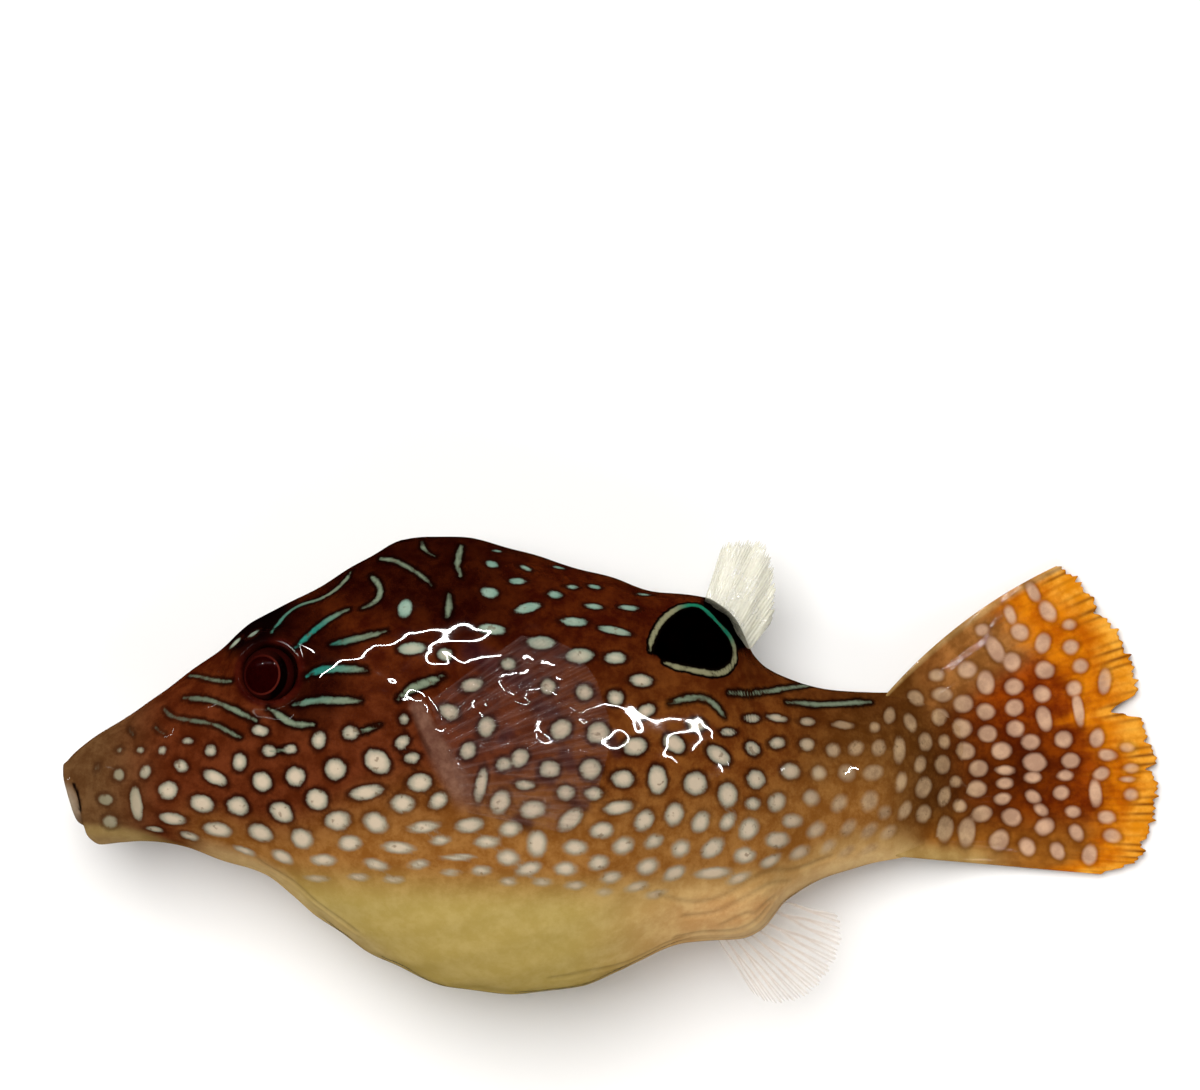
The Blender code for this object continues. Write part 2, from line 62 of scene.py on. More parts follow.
# %% [markdown]
# Places on the fish are read places: where they seem to lie on the floor, seen by an eye
# 450 mm over it, in mm along the fish from the snout and up from its long axis. What lies
# higher than the floor looks larger from there, so one function brings a read place to
# its real one. The frame's box tells where the snout and the hump are, and so where the
# zero of the read places is.

# %% From read places to real ones
EYE_POINT = np.array((28.4, 11.9))
EYE_POINT_HEIGHT = 450.0
SNOUT_TIP = ((0.0, 0.25), 5.2)
HUMP_TOP = ((19.4, 12.4), 5.55)


def nearer(height):
    """How much smaller a thing is than it looks, when it lies this high in mm."""
    return 1.0 - height / EYE_POINT_HEIGHT


def real_place(place, height):
    """Where a place read in the photo really is, for a point at its height."""
    return EYE_POINT + (np.array(place) - EYE_POINT) * nearer(height)


ORIGIN = np.array((
    real_place(*SNOUT_TIP)[0] - LOW.x / MM,
    real_place(*HUMP_TOP)[1] - HIGH.y / MM,
))


def spot_at(along, up, height, level=None):
    """Places in the frame's mm, for read places whose outline lies at some level."""
    shrink = nearer(height if level is None else level)
    x = EYE_POINT[0] + (along - EYE_POINT[0]) * shrink - ORIGIN[0]
    y = EYE_POINT[1] + (up - EYE_POINT[1]) * shrink - ORIGIN[1]
    return np.stack(np.broadcast_arrays(x, y, height), axis=-1)


print("the zero of the read places is at", np.round(-ORIGIN, 2), "mm")

# %% [markdown]
# The camera looks straight down, as the photograph does. Its lens is long, so that the
# field is 63.5 mm wide at the floor from 450 mm above it.

# %% Camera
LENS = 255.2
SENSOR = 36.0

camera = bpy.data.objects.new("camera", bpy.data.cameras.new("camera"))
camera.data.lens = LENS
camera.data.sensor_width = SENSOR
camera.data.sensor_fit = "HORIZONTAL"
camera.data.clip_start = 0.01
camera.location = (*((EYE_POINT - ORIGIN) * MM), EYE_POINT_HEIGHT * MM)
bpy.context.scene.collection.objects.link(camera)
bpy.context.scene.camera = camera
bpy.context.scene.view_settings.view_transform = "Standard"
print("camera over", [round(value / MM, 2) for value in camera.location])

# %% [markdown]
# Small tools serve every material and mesh. One turns the hex values that painters write
# to the linear colours that shaders use, and two add a shader node and fill its sockets.
# Three are curves for a whole array of places at once: a smooth one through given
# keys, an eased step and a bell.

# %% Colour, nodes and curves
def colour(code):
    """A painter's hex colour as linear light, with a full alpha."""
    parts = [int(code[start:start + 2], 16) / 255 for start in (1, 3, 5)]
    linear = [
        part / 12.92 if part <= 0.04045 else ((part + 0.055) / 1.055) ** 2.4
        for part in parts
    ]
    return (*linear, 1.0)


def feed(tree, node, inputs):
    """Give sockets of a node their values or their links."""
    for socket, value in inputs.items():
        if isinstance(value, bpy.types.NodeSocket):
            tree.links.new(value, node.inputs[socket])
        else:
            node.inputs[socket].default_value = value


def add(tree, kind, inputs=None, out=0, **settings):
    """Add a node and give back one of its outputs."""
    made = tree.nodes.new("ShaderNode" + kind)
    for name, value in settings.items():
        setattr(made, name, value)
    feed(tree, made, inputs or {})
    return made.outputs[out]


def through(keys, at, column=1):
    """A smooth curve through a column of given keys, with no overshoot."""
    keys = np.array(keys, float)
    x, y = keys[:, 0], keys[:, column]
    rise = np.diff(y) / np.diff(x)
    slope = np.concatenate((rise[:1], np.zeros(len(x) - 2), rise[-1:]))
    same_way = rise[:-1] * rise[1:] > 0
    total = np.where(same_way, rise[:-1] + rise[1:], 1.0)
    slope[1:-1] = np.where(same_way, 2 * rise[:-1] * rise[1:] / total, 0.0)
    at = np.clip(at, x[0], x[-1])
    spot = np.clip(np.searchsorted(x, at, side="right") - 1, 0, len(x) - 2)
    width = x[spot + 1] - x[spot]
    t = (at - x[spot]) / width
    return (
        (2 * t**3 - 3 * t**2 + 1) * y[spot]
        + (t**3 - 2 * t**2 + t) * width * slope[spot]
        + (3 * t**2 - 2 * t**3) * y[spot + 1]
        + (t**3 - t**2) * width * slope[spot + 1]
    )


def ease(value, start, end):
    """0 before start, 1 after end, and a smooth rise between them."""
    t = np.clip((value - start) / (end - start), 0.0, 1.0)
    return t * t * (3 - 2 * t)


def bell(distance, width):
    """1 on the spot, falling away to 0 over a few widths."""
    return np.exp(-((distance / width) ** 2))


print("wet brown in linear light:", [round(part, 3) for part in colour("#5a3317")])

# %% [markdown]
# Every mesh is handled in the same ways: its points are read as rows of numbers, values
# are kept on them for the material to read, and the mesh stands on the body in place of
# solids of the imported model. Each way is written once, so that no piece is left without.

# %% Points, marks and pieces
def points_of(mesh):
    """All places of a mesh as one array."""
    at = np.empty(len(mesh.vertices) * 3)
    mesh.vertices.foreach_get("co", at)
    return at.reshape(-1, 3)


def keep(mesh, marks):
    """Keep named values on a mesh, one value for each of its points or one for all."""
    for name, values in marks.items():
        layer = mesh.attributes.new(name, "FLOAT", "POINT")
        values = np.broadcast_to(values, len(mesh.vertices)).astype(np.float32)
        layer.data.foreach_set("value", values)


def stand(name, mesh, slot, *nodes):
    """Put a smooth mesh on the body, in place of the nodes that it stands for."""
    mesh.name = name
    mesh.shade_smooth()
    made = bpy.data.objects.new(name, mesh)
    bpy.context.scene.collection.objects.link(made)
    if nodes:
        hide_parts(*nodes)
    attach(made, "root")
    return made


print("a bell curve at its middle and its width:", bell(np.array((0.0, 1.0)), 1.0).round(2))

# %% [markdown]
# The body's measures. The back and the belly are read from the side as curves through a
# few keys, and the thickness and the height of the middle plane over the floor come from
# how such a fish is built. They are the measures of the solid model, except at the very
# end, where the skin runs out thin over the root of the tail fin instead of stopping at
# it: this is why no seam shows there.

# %% Measures of the body
def outline(tip, rest):
    """Keys of station, along and up: past the lips each place lies at its own station."""
    return tip + tuple((along, along, up) for along, up in rest)


BACK_LINE = outline((
    (0.0, 0.62, -1.2), (0.25, 0.22, -0.85), (0.5, 0.02, -0.3), (0.8, 0.0, 0.25),
    (1.05, 0.22, 0.5), (1.3, 0.56, 0.9), (2.0, 1.40, 1.58), (3.0, 2.80, 2.50),
), (
    (4.1, 3.3), (6.2, 4.8), (8.3, 6.3), (10.1, 7.9), (13.0, 9.4), (16.0, 11.2),
    (18.0, 12.2), (19.4, 12.4), (21.1, 12.3), (25.1, 11.3), (29.15, 10.1), (31.6, 9.4),
    (34.1, 9.15), (35.0, 8.6), (35.9, 7.4), (36.5, 6.1), (37.25, 5.4), (39.4, 4.5),
    (42.1, 4.1), (44.5, 4.1), (46.5, 4.0), (48.5, 3.2), (49.6, 0.0),
))
BELLY_LINE = outline((
    (0.0, 0.62, -1.2), (0.25, 0.50, -1.55), (0.5, 0.52, -2.1), (0.8, 0.80, -2.75),
    (1.05, 1.14, -3.0), (1.3, 1.30, -3.50), (2.0, 2.00, -3.95), (3.0, 3.10, -3.80),
), (
    (4.1, -3.7), (6.2, -4.0), (8.8, -4.8), (10.8, -5.5), (13.5, -7.7), (16.9, -9.9),
    (20.5, -11.4), (24.0, -11.75), (27.35, -11.4), (30.5, -10.05), (33.0, -9.05),
    (35.8, -8.85), (36.9, -8.4), (38.25, -6.8), (40.05, -5.8), (42.2, -5.1),
    (44.5, -4.6), (46.5, -4.1), (48.5, -2.6), (49.6, 0.0),
))
HALF_THICKNESS = (
    (0.0, 0.0), (0.25, 0.55), (0.5, 1.0), (0.8, 1.25), (1.05, 1.3), (1.35, 1.52),
    (2.0, 1.85), (3.0, 2.25), (5.0, 2.9), (8.0, 3.7), (11.0, 4.6), (14.0, 5.5),
    (17.0, 6.15), (20.0, 6.45), (24.0, 6.5), (28.0, 6.1), (32.0, 5.0), (36.0, 3.7),
    (40.0, 2.5), (42.5, 1.8), (44.5, 1.15), (46.3, 0.5), (47.8, 0.13), (49.6, 0.0),
)
TAIL_FIN_HEIGHT = (
    (43.5, 2.65), (45.5, 1.95), (47.5, 1.05), (49.5, 0.50), (51.0, 0.36), (58.5, 0.25),
)
MIDDLE_HEIGHT = (
    (0.0, 5.2), (11.0, 5.5), (18.0, 5.55), (28.0, 5.55), (32.0, 5.3), (36.0, 4.6),
    (40.0, 3.5), *TAIL_FIN_HEIGHT,
)
BODY_END = HALF_THICKNESS[-1][0]
THICKEST_LEVEL = 0.48


def roundness(station):
    """1 where the section is round, more where it thins to a lens over the tail fin."""
    return 1.0 + 1.4 * ease(station, 40.5, 46.0)


def body_at(station, angle):
    """Skin places for stations and angles: 0 is the back's ridge, pi / 2 the left side."""
    back = [through(BACK_LINE, station, column) for column in (1, 2)]
    belly = [through(BELLY_LINE, station, column) for column in (1, 2)]
    reach = np.cos(angle)
    place = []
    for high, low in zip(back, belly):
        middle = low + THICKEST_LEVEL * (high - low)
        edge = np.where(reach > 0, high, low)
        place.append(middle + (edge - middle) * np.abs(reach))
    level = through(MIDDLE_HEIGHT, station)
    half = through(HALF_THICKNESS, station)
    swell = np.sin(angle)
    swell = np.sign(swell) * np.abs(swell) ** roundness(station)
    return spot_at(*place, level + half * swell, level)


def flank(along, up, side):
    """Skin places under read places, on the left side (1) or the right (-1)."""
    along, up = np.asarray(along, float), np.asarray(up, float)
    back = through(BACK_LINE, along, 2)
    belly = through(BELLY_LINE, along, 2)
    middle = belly + THICKEST_LEVEL * (back - belly)
    edge = np.where(up > middle, back, belly)
    depth = np.where(edge == middle, 1.0, edge - middle)
    reach = np.clip(np.abs((up - middle) / depth), 0.0, 1.0)
    level = through(MIDDLE_HEIGHT, along)
    half = through(HALF_THICKNESS, along) * (1.0 - reach**2) ** (roundness(along) / 2)
    return spot_at(along, up, level + side * half, level)


def flank_frame(along, up, side, step=0.25):
    """At places of the skin: the place, the ways along and up it, and its normal."""
    run = flank(along + step, up, side) - flank(along - step, up, side)
    rise = flank(along, up + step, side) - flank(along, up - step, side)
    run /= np.linalg.norm(run, axis=-1, keepdims=True)
    out = side * np.cross(run, rise)
    out /= np.linalg.norm(out, axis=-1, keepdims=True)
    return flank(along, up, side), run, np.cross(out, run) * side, out


print("thickest at", max(HALF_THICKNESS, key=lambda key: key[1]))

# %% [markdown]
# The skin is one closed surface from lips to tail, so no seam shows between head, trunk
# and tail. It starts as a sphere of rings and columns, as a knitter's sleeve is closed
# at both ends. Each ring is set on a station along the body, closer together where the
# head has its fine forms, and each column at an angle round it, closer on the upper side.
# This turns the sphere as in a mirror, so its faces are reversed first to look outwards.

# %% A sleeve of rings for the skin
RINGS = 372
COLUMNS = 256
LEFT_COLUMNS = 150
# more rings for the lips and for the eye: how many, at which station, how far about it
CLOSER = ((2.2, 0.0, 1.2), (0.9, 10.9, 2.4))


def ring_stations():
    """Stations of the rings, closest at the lips and round the eye."""
    along = np.linspace(0.0, BODY_END, 4000)
    need = sum((more * bell(along - at, reach) for more, at, reach in CLOSER), 1.0)
    share = np.cumsum(need)
    share = (share - share[0]) / (share[-1] - share[0])
    return np.interp(np.linspace(0.0, 1.0, RINGS + 2), share, along)


def column_angles():
    """The columns' angles round the body, closer together on the side that is seen."""
    left = np.linspace(0.0, math.pi, LEFT_COLUMNS + 1)
    right = np.linspace(math.pi, 2 * math.pi, COLUMNS - LEFT_COLUMNS + 1)
    return np.concatenate((left, right[1:]))


bm = bmesh.new()
bmesh.ops.create_uvsphere(bm, u_segments=COLUMNS, v_segments=RINGS + 1, radius=1.0)
bmesh.ops.reverse_faces(bm, faces=bm.faces)
skin_mesh = bpy.data.meshes.new("skin")
bm.to_mesh(skin_mesh)
bm.free()

ball = points_of(skin_mesh)
ring = np.rint(np.arccos(np.clip(ball[:, 2], -1, 1)) / math.pi * (RINGS + 1)).astype(int)
turn = np.arctan2(ball[:, 1], ball[:, 0]) / (2 * math.pi)
column = np.rint(turn * COLUMNS).astype(int) % COLUMNS
station = ring_stations()[ring]
angle = column_angles()[column]
skin_places = body_at(station, angle)
print("skin:", len(skin_mesh.vertices), "points,", len(skin_mesh.polygons), "faces")
spacing = np.diff(ring_stations())
print("closest and widest ring spacing, mm:", spacing.min(), spacing.max())

# %% [markdown]
# Forms of the head and flank are swellings and grooves in this skin, each given by a
# distance and a height: lips with the crease behind them, the fold of skin round the
# eye, nostrils, the gill slit and the fleshy root of the breast fin. A sculptor would
# brush them on. Here a bump is a bell curve of a distance, which keeps each form's width
# and height in plain sight.

# %% Distances for forms and markings
NEAR = 3.0
FAR = 99.0


def relief(distance, forms):
    """Height of forms, each given by how far off it lies, its height and its width."""
    return sum(height * bell(distance - at, width) for at, height, width in forms)


def rounded(places):
    """A drawn line with its corners cut three times over, so that it runs smooth."""
    line = np.array(places, float)
    for _ in range(3):
        early = 0.75 * line[:-1] + 0.25 * line[1:]
        late = 0.25 * line[:-1] + 0.75 * line[1:]
        between = np.stack((early, late), axis=1).reshape(-1, line.shape[1])
        line = np.concatenate((line[:1], between, line[-1:]))
    return line


def line_distance(points, line):
    """Distance in mm from every point to a line, where the line is near."""
    inside = (points > line.min(axis=0) - NEAR) & (points < line.max(axis=0) + NEAR)
    near = np.flatnonzero(inside.all(axis=1))
    close = points[near]
    found = np.full(len(near), FAR)
    for start, end in zip(line[:-1], line[1:]):
        run = end - start
        share = np.clip((close - start) @ run / (run @ run), 0.0, 1.0)
        gap = np.linalg.norm(close - start - share[:, None] * run, axis=1)
        found = np.minimum(found, gap)
    best = np.full(len(points), FAR)
    best[near] = found
    return best


def on_flank(places, side):
    """A drawn line of read places, smoothed and laid on the skin."""
    line = rounded(places)
    return flank(line[:, 0], line[:, 1], side)


# %% Eyes, nostrils, gill slits and breast-fin roots
EYE_AT = (11.05, 5.25)
EYE_SUNK = 0.5
EYE_UPWARDS = 0.8
LID_LEVEL = 0.5
BOWL_DEPTH = 1.3
# points farther below an eye than this belong to the other side of the head
EYE_SIDE = 2.5
SOCKET_REACH = 3.4
SOCKET_EDGE = (2.9, 1.8)
BOWL_EDGE = (1.58, 1.2)
# the way in which the lid's fold is highest: back and up
LID_LEAN = np.array((0.75, 0.66, 0.0))
NOSTRIL_AT = (8.5, 5.2)
GILL_SLIT = ((18.55, 3.0), (18.9, 1.9), (19.45, 0.8))
BREAST_ROOT = ((18.75, 3.3), (20.0, 0.8), (21.0, -0.9), (21.45, -2.0))
BREAST_ROOT_HEIGHT = 0.24
# how far off a form lies from its middle or line, its height and its width, in mm
LID_FOLD = ((1.66, 0.12, 0.17), (2.02, -0.05, 0.14))
NOSTRIL = ((0.26, 0.10, 0.14), (0.0, -0.12, 0.15))
GILL_GROOVE = ((0.0, -0.18, 0.12),)


def eye_frame(side):
    """Centre and outward axis of an eye, as in the solid model."""
    place, _, _, out = flank_frame(*EYE_AT, side)
    axis = out + np.array((0.0, 0.0, EYE_UPWARDS * side))
    axis /= np.linalg.norm(axis)
    return place - axis * EYE_SUNK, axis


def about_axis(points, centre, axis):
    """Each point's way from a centre, its height along an axis and its distance from it."""
    offset = points - centre
    height = offset @ axis
    return offset, height, np.linalg.norm(offset - height[:, None] * axis, axis=1)


def eye_socket(points, side):
    """How far each point near the eye moves along the eye's axis, in mm."""
    centre, axis = eye_frame(side)
    offset, height, radius = about_axis(points, centre, axis)
    near = (radius < SOCKET_REACH) & (height > -EYE_SIDE)
    level = (LID_LEVEL - height) * ease(radius, *SOCKET_EDGE)
    lean = offset @ LID_LEAN / np.maximum(radius, 0.1)
    fold = relief(radius, LID_FOLD) * (0.6 + 0.4 * lean)
    bowl = -BOWL_DEPTH * ease(radius, *BOWL_EDGE)
    return np.where(near, level + fold + bowl, 0.0)[:, None] * axis


def outward(mesh, places):
    """The skin's normals with its points at these places."""
    mesh.vertices.foreach_set("co", (places * MM).ravel())
    mesh.update()
    normals = np.empty(len(places) * 3)
    mesh.vertex_normals.foreach_get("vector", normals)
    return normals.reshape(-1, 3)


out = outward(skin_mesh, skin_places)
raised = np.zeros(len(skin_places))
for side in (1, -1):
    nostril = np.linalg.norm(skin_places - flank(*NOSTRIL_AT, side), axis=1)
    raised += relief(nostril, NOSTRIL)
    slit = line_distance(skin_places, on_flank(GILL_SLIT, side))
    raised += relief(slit, GILL_GROOVE)
    root = line_distance(skin_places, on_flank(BREAST_ROOT, side))
    raised += BREAST_ROOT_HEIGHT * ease(root, 1.25, 0.2)
print("forms rise from", raised.min().round(2), "to", raised.max().round(2), "mm")

# %% [markdown]
# The lips are a soft ring round the small beak-like mouth. The mouth itself is a short
# slit across the tip, and behind the lips a crease curves down the side. The skin's
# colour later darkens both with painted shade.

# %% Lips and mouth
MOUTH_AT = (0.3, -1.15)
MOUTH_GROOVE = ((0.0, -0.22, 0.12),)
LIP_CREASE = ((0.55, -0.75), (0.75, -1.2), (0.86, -1.65), (0.88, -2.15))
LIP_GROOVE = ((0.0, -0.16, 0.10),)

mouth = real_place(MOUTH_AT, SNOUT_TIP[1]) - ORIGIN
mouth_gap = np.abs(skin_places[:, 1] - mouth[1])
mouth_span = np.abs(skin_places[:, 2] - SNOUT_TIP[1])
at_tip = ease(station, 0.62, 0.35)
raised += relief(mouth_gap, MOUTH_GROOVE) * ease(mouth_span, 1.1, 0.7) * at_tip
for side in (1, -1):
    crease = line_distance(skin_places, on_flank(LIP_CREASE, side))
    raised += relief(crease, LIP_GROOVE)
print("mouth at", mouth.round(2))

# %% [markdown]
# Fine relief: under the wet film the skin is set with tiny prickles and creases a little
# along the belly. The prickles are bump in the material, as they are a tenth of a
# millimetre. The soft dents, which a light from the side shows, the creases and a low
# keel are in the mesh. The dents are three slow waves laid at different slants.

# %% Soft unevenness of the flesh
WAVES = ((0.9, 0.35, 0.1), (-0.5, 1.1, 0.7), (0.3, -0.8, 1.3))
WAVE_HEIGHT = 0.022
KEEL_HEIGHT = 0.08
CREASE_FORM = ((0.3, 0.03, 0.2), (0.0, -0.05, 0.11))
CREASES = (
    ((31.4, -6.4), (33.1, -6.9), (34.3, -6.8), (35.4, -6.3), (36.5, -5.6), (37.5, -5.15),
     (38.7, -5.2), (39.8, -4.8), (40.6, -4.5)),
    ((32.8, -7.6), (34.3, -7.5), (35.4, -6.95), (36.5, -6.4), (37.5, -5.8), (38.4, -5.8)),
    ((34.8, -8.1), (35.4, -7.8), (36.2, -7.4), (36.6, -7.6), (37.0, -7.1), (37.7, -6.6)),
    ((32.4, -8.7), (33.7, -8.5), (35.4, -8.5), (36.6, -8.0), (37.3, -7.2)),
    ((25.8, -10.9), (27.6, -10.6), (29.4, -10.2), (30.9, -9.6), (32.0, -9.0), (32.9, -8.7)),
    ((10.4, -4.6), (11.6, -5.4), (12.6, -6.1), (14.0, -7.3), (15.6, -8.4)),
)
wave = np.zeros(len(skin_places))
for count, way in enumerate(WAVES):
    wave += np.sin(skin_places @ np.array(way) * 2.1 + 1.7 * count)
soft = WAVE_HEIGHT * wave * ease(through(HALF_THICKNESS, station), 0.4, 2.5)
folds = np.full(len(skin_places), FAR)
for side in (1, -1):
    for places in CREASES:
        folds = np.minimum(folds, line_distance(skin_places, on_flank(places, side)))
soft += relief(folds, CREASE_FORM)
keel = KEEL_HEIGHT * bell(angle - math.pi, 0.05)
keel *= ease(station, 3.0, 9.0) * ease(station, 43.0, 36.0)

bare = skin_places.copy()
skin_places = skin_places + out * (raised + soft + keel)[:, None]
for side in (1, -1):
    skin_places = skin_places + eye_socket(bare, side)
skin_places[:, 2] = np.maximum(skin_places[:, 2], 0.0)
out = outward(skin_mesh, skin_places)
print("skin box, mm:", skin_places.min(axis=0).round(2), skin_places.max(axis=0).round(2))

# %% [markdown]
# The markings. The fish is brown with pale spots in dark rims, lines that ray out from
# the eye, and a black eye-spot ringed with green at the root of the back fin. They could
# be painted on a picture, but here each is drawn: a spot has a place, a length, a width
# and a slant, in read places, and a line has the places it runs through. The
# distance from each point of the skin to the nearest edge is kept on the mesh, measured
# along the flesh and not along the view, and the material turns it to colour.

# %% Spots of the body
# along, up, length, width in mm, and slant in degrees
SNOUT_SPOTS = (
    (2.0, 0.1, 0.30, 0.45, 0), (3.1, 1.1, 0.33, 0.30, 0), (4.2, 1.1, 0.41, 0.33, 0),
    (5.4, 1.1, 0.48, 0.45, 40), (6.7, 1.6, 0.56, 0.33, 0), (3.1, -0.2, 0.59, 0.63, 0),
    (4.5, 0.0, 0.78, 0.59, 60), (6.4, 0.3, 0.71, 0.59, -30), (2.4, -1.5, 0.82, 0.59, 0),
    (4.0, -1.8, 2.15, 0.65, 92), (5.7, -1.0, 1.11, 0.89, 20), (2.6, -2.7, 0.82, 0.82, 0),
    (5.9, -2.5, 1.41, 0.82, -8), (4.9, -3.1, 0.89, 0.45, -15), (6.8, -3.4, 0.97, 0.59, -20),
    (10.2, 7.15, 0.7, 0.6, 70), (9.15, 6.75, 0.8, 0.5, 60),
)
CHEEK_SPOTS = (
    (8.2, -0.3, 1.32, 0.71, -25), (9.5, 0.5, 0.96, 0.76, 80), (10.7, -0.5, 1.06, 1.01, 0),
    (12.5, -0.2, 1.06, 1.01, 0), (14.6, 0.2, 1.16, 1.11, 0), (16.8, 0.6, 1.57, 1.11, -30),
    (13.7, 1.7, 0.96, 0.76, 55), (10.6, 2.2, 0.86, 0.56, -10), (11.1, 1.1, 0.76, 0.61, 0),
    (12.2, 1.2, 0.76, 0.49, 5), (15.4, 2.1, 0.91, 0.73, 0), (18.2, 2.8, 0.51, 0.51, 0),
    (18.1, 1.6, 0.91, 0.61, 35), (20.5, 3.2, 1.11, 0.76, -35), (18.6, 0.8, 0.81, 0.61, 15),
    (19.0, -0.5, 1.27, 0.91, 10), (13.6, -1.4, 1.23, 1.09, 0), (16.2, -1.0, 1.82, 0.76, 10),
    (18.1, -1.6, 1.27, 0.96, 0), (20.0, -1.4, 1.06, 0.73, 40), (7.5, -1.7, 1.32, 0.96, -15),
    (9.4, -1.8, 1.16, 1.06, 0), (11.7, -2.1, 1.37, 1.06, -25), (14.7, -2.5, 1.37, 1.01, 15),
    (16.7, -2.6, 1.32, 1.01, -20), (19.2, -2.8, 1.72, 0.61, 8), (8.3, -3.1, 1.52, 0.91, -5),
    (10.6, -3.2, 1.32, 1.01, -25), (12.8, -3.5, 1.37, 1.11, 10), (15.3, -3.7, 1.32, 0.81, 8),
    (17.9, -3.9, 1.82, 0.61, -5), (20.1, -3.5, 1.11, 0.51, 5), (21.0, -4.4, 1.82, 0.35, 2),
    (9.7, -4.2, 1.11, 0.61, -25), (11.7, -4.5, 1.32, 0.81, -20), (13.9, -4.6, 1.52, 0.66, 0),
    (16.7, -4.8, 1.32, 0.61, -10), (18.9, -4.8, 1.11, 0.56, 8), (20.6, -5.2, 1.01, 0.40, 0),
    (15.7, -5.5, 1.21, 0.46, 0), (13.5, -5.6, 1.52, 0.46, 0), (17.6, -5.6, 1.11, 0.40, 0),
    (8.0, 1.1, 0.61, 0.61, 0),
)
FLANK_SPOTS = (
    (25.8, 0.2, 1.09, 0.94, 10), (27.9, 0.2, 1.12, 1.06, 0), (29.6, -0.3, 1.24, 0.89, 0),
    (31.4, -0.4, 1.48, 1.06, 92), (33.4, -0.6, 1.36, 1.18, 0), (35.1, -1.2, 1.30, 1.12, 100),
    (36.6, -0.4, 1.12, 0.94, 0), (38.4, 0.0, 1.06, 0.83, 0), (37.7, -1.6, 1.12, 1.00, 20),
    (36.4, -1.7, 0.83, 0.59, 0), (38.5, -2.6, 1.24, 0.71, 0), (36.2, -3.0, 1.30, 1.06, 50),
    (37.7, -3.6, 1.54, 0.89, 0), (35.1, -2.6, 1.00, 0.77, 35), (36.0, -4.4, 1.24, 0.89, 0),
    (33.7, -2.6, 1.18, 1.00, 45), (32.3, -2.2, 1.18, 1.04, 60), (30.7, -2.5, 1.18, 0.94, 40),
    (29.4, -1.8, 1.65, 0.71, 5), (28.5, -3.0, 1.24, 0.83, 0), (29.6, -3.8, 1.18, 0.92, 25),
    (31.2, -3.6, 1.12, 0.77, 20), (32.6, -4.0, 1.12, 0.94, 25), (34.3, -4.0, 1.42, 1.00, 30),
    (30.9, -4.9, 1.24, 0.89, 10), (28.3, -4.7, 1.12, 0.77, 10), (27.1, -3.9, 1.30, 0.83, -5),
    (26.9, -2.4, 1.54, 0.85, 40), (24.9, -1.9, 1.30, 0.94, 5), (26.6, -1.0, 0.94, 0.77, 0),
    (28.1, -1.1, 0.94, 0.65, 0), (25.1, -3.7, 1.36, 1.09, 92), (23.7, -2.9, 1.12, 0.83, 0),
    (23.2, -1.5, 1.36, 0.97, 60), (22.2, -0.6, 1.77, 0.61, 78), (21.6, -2.7, 1.42, 0.77, 10),
    (22.5, -3.6, 1.30, 0.65, 5), (23.6, -4.4, 1.18, 0.83, 0), (24.7, -5.0, 1.30, 0.71, 15),
    (26.6, -5.0, 1.24, 0.77, 0), (29.0, -5.5, 1.24, 0.65, 8), (32.3, -5.3, 1.36, 0.83, 25),
    (30.3, -6.0, 1.30, 0.59, 12), (27.1, -5.9, 1.12, 0.50, 0), (25.4, -5.7, 1.00, 0.47, 0),
    (23.6, -5.7, 0.89, 0.45, 0), (22.2, -5.1, 1.06, 0.53, 0), (28.6, -6.3, 1.06, 0.47, 0),
    (34.3, -5.3, 2.01, 0.65, 5), (35.7, -5.6, 1.42, 0.59, 20), (31.3, -6.4, 1.30, 0.53, 12),
    (37.4, -4.7, 1.30, 0.65, 20), (26.4, 2.3, 1.24, 0.94, 35), (28.3, 2.1, 1.24, 1.06, 30),
    (30.2, 1.4, 1.36, 0.94, 5), (27.6, 4.2, 0.94, 0.85, 60), (29.2, 3.9, 0.89, 0.83, -20),
    (30.8, 3.2, 1.18, 0.65, 25), (33.5, 2.5, 1.00, 0.65, 0), (35.1, 2.1, 0.94, 0.41, 0),
    (32.3, 1.5, 1.30, 0.92, -30), (34.6, 0.9, 1.54, 0.83, -30), (36.4, 1.2, 0.94, 0.71, -20),
    (37.7, 1.5, 1.06, 0.59, 10), (36.4, 2.8, 1.18, 0.47, 0), (37.7, 2.8, 1.18, 0.41, -8),
    (22.5, 2.4, 1.06, 0.89, 60), (21.5, 1.2, 0.94, 0.77, 60), (23.4, 0.5, 0.89, 0.71, 0),
    (24.2, 0.8, 1.06, 0.83, 50), (24.5, -0.6, 1.18, 0.53, 0), (20.7, 3.2, 0.71, 0.71, 0),
)
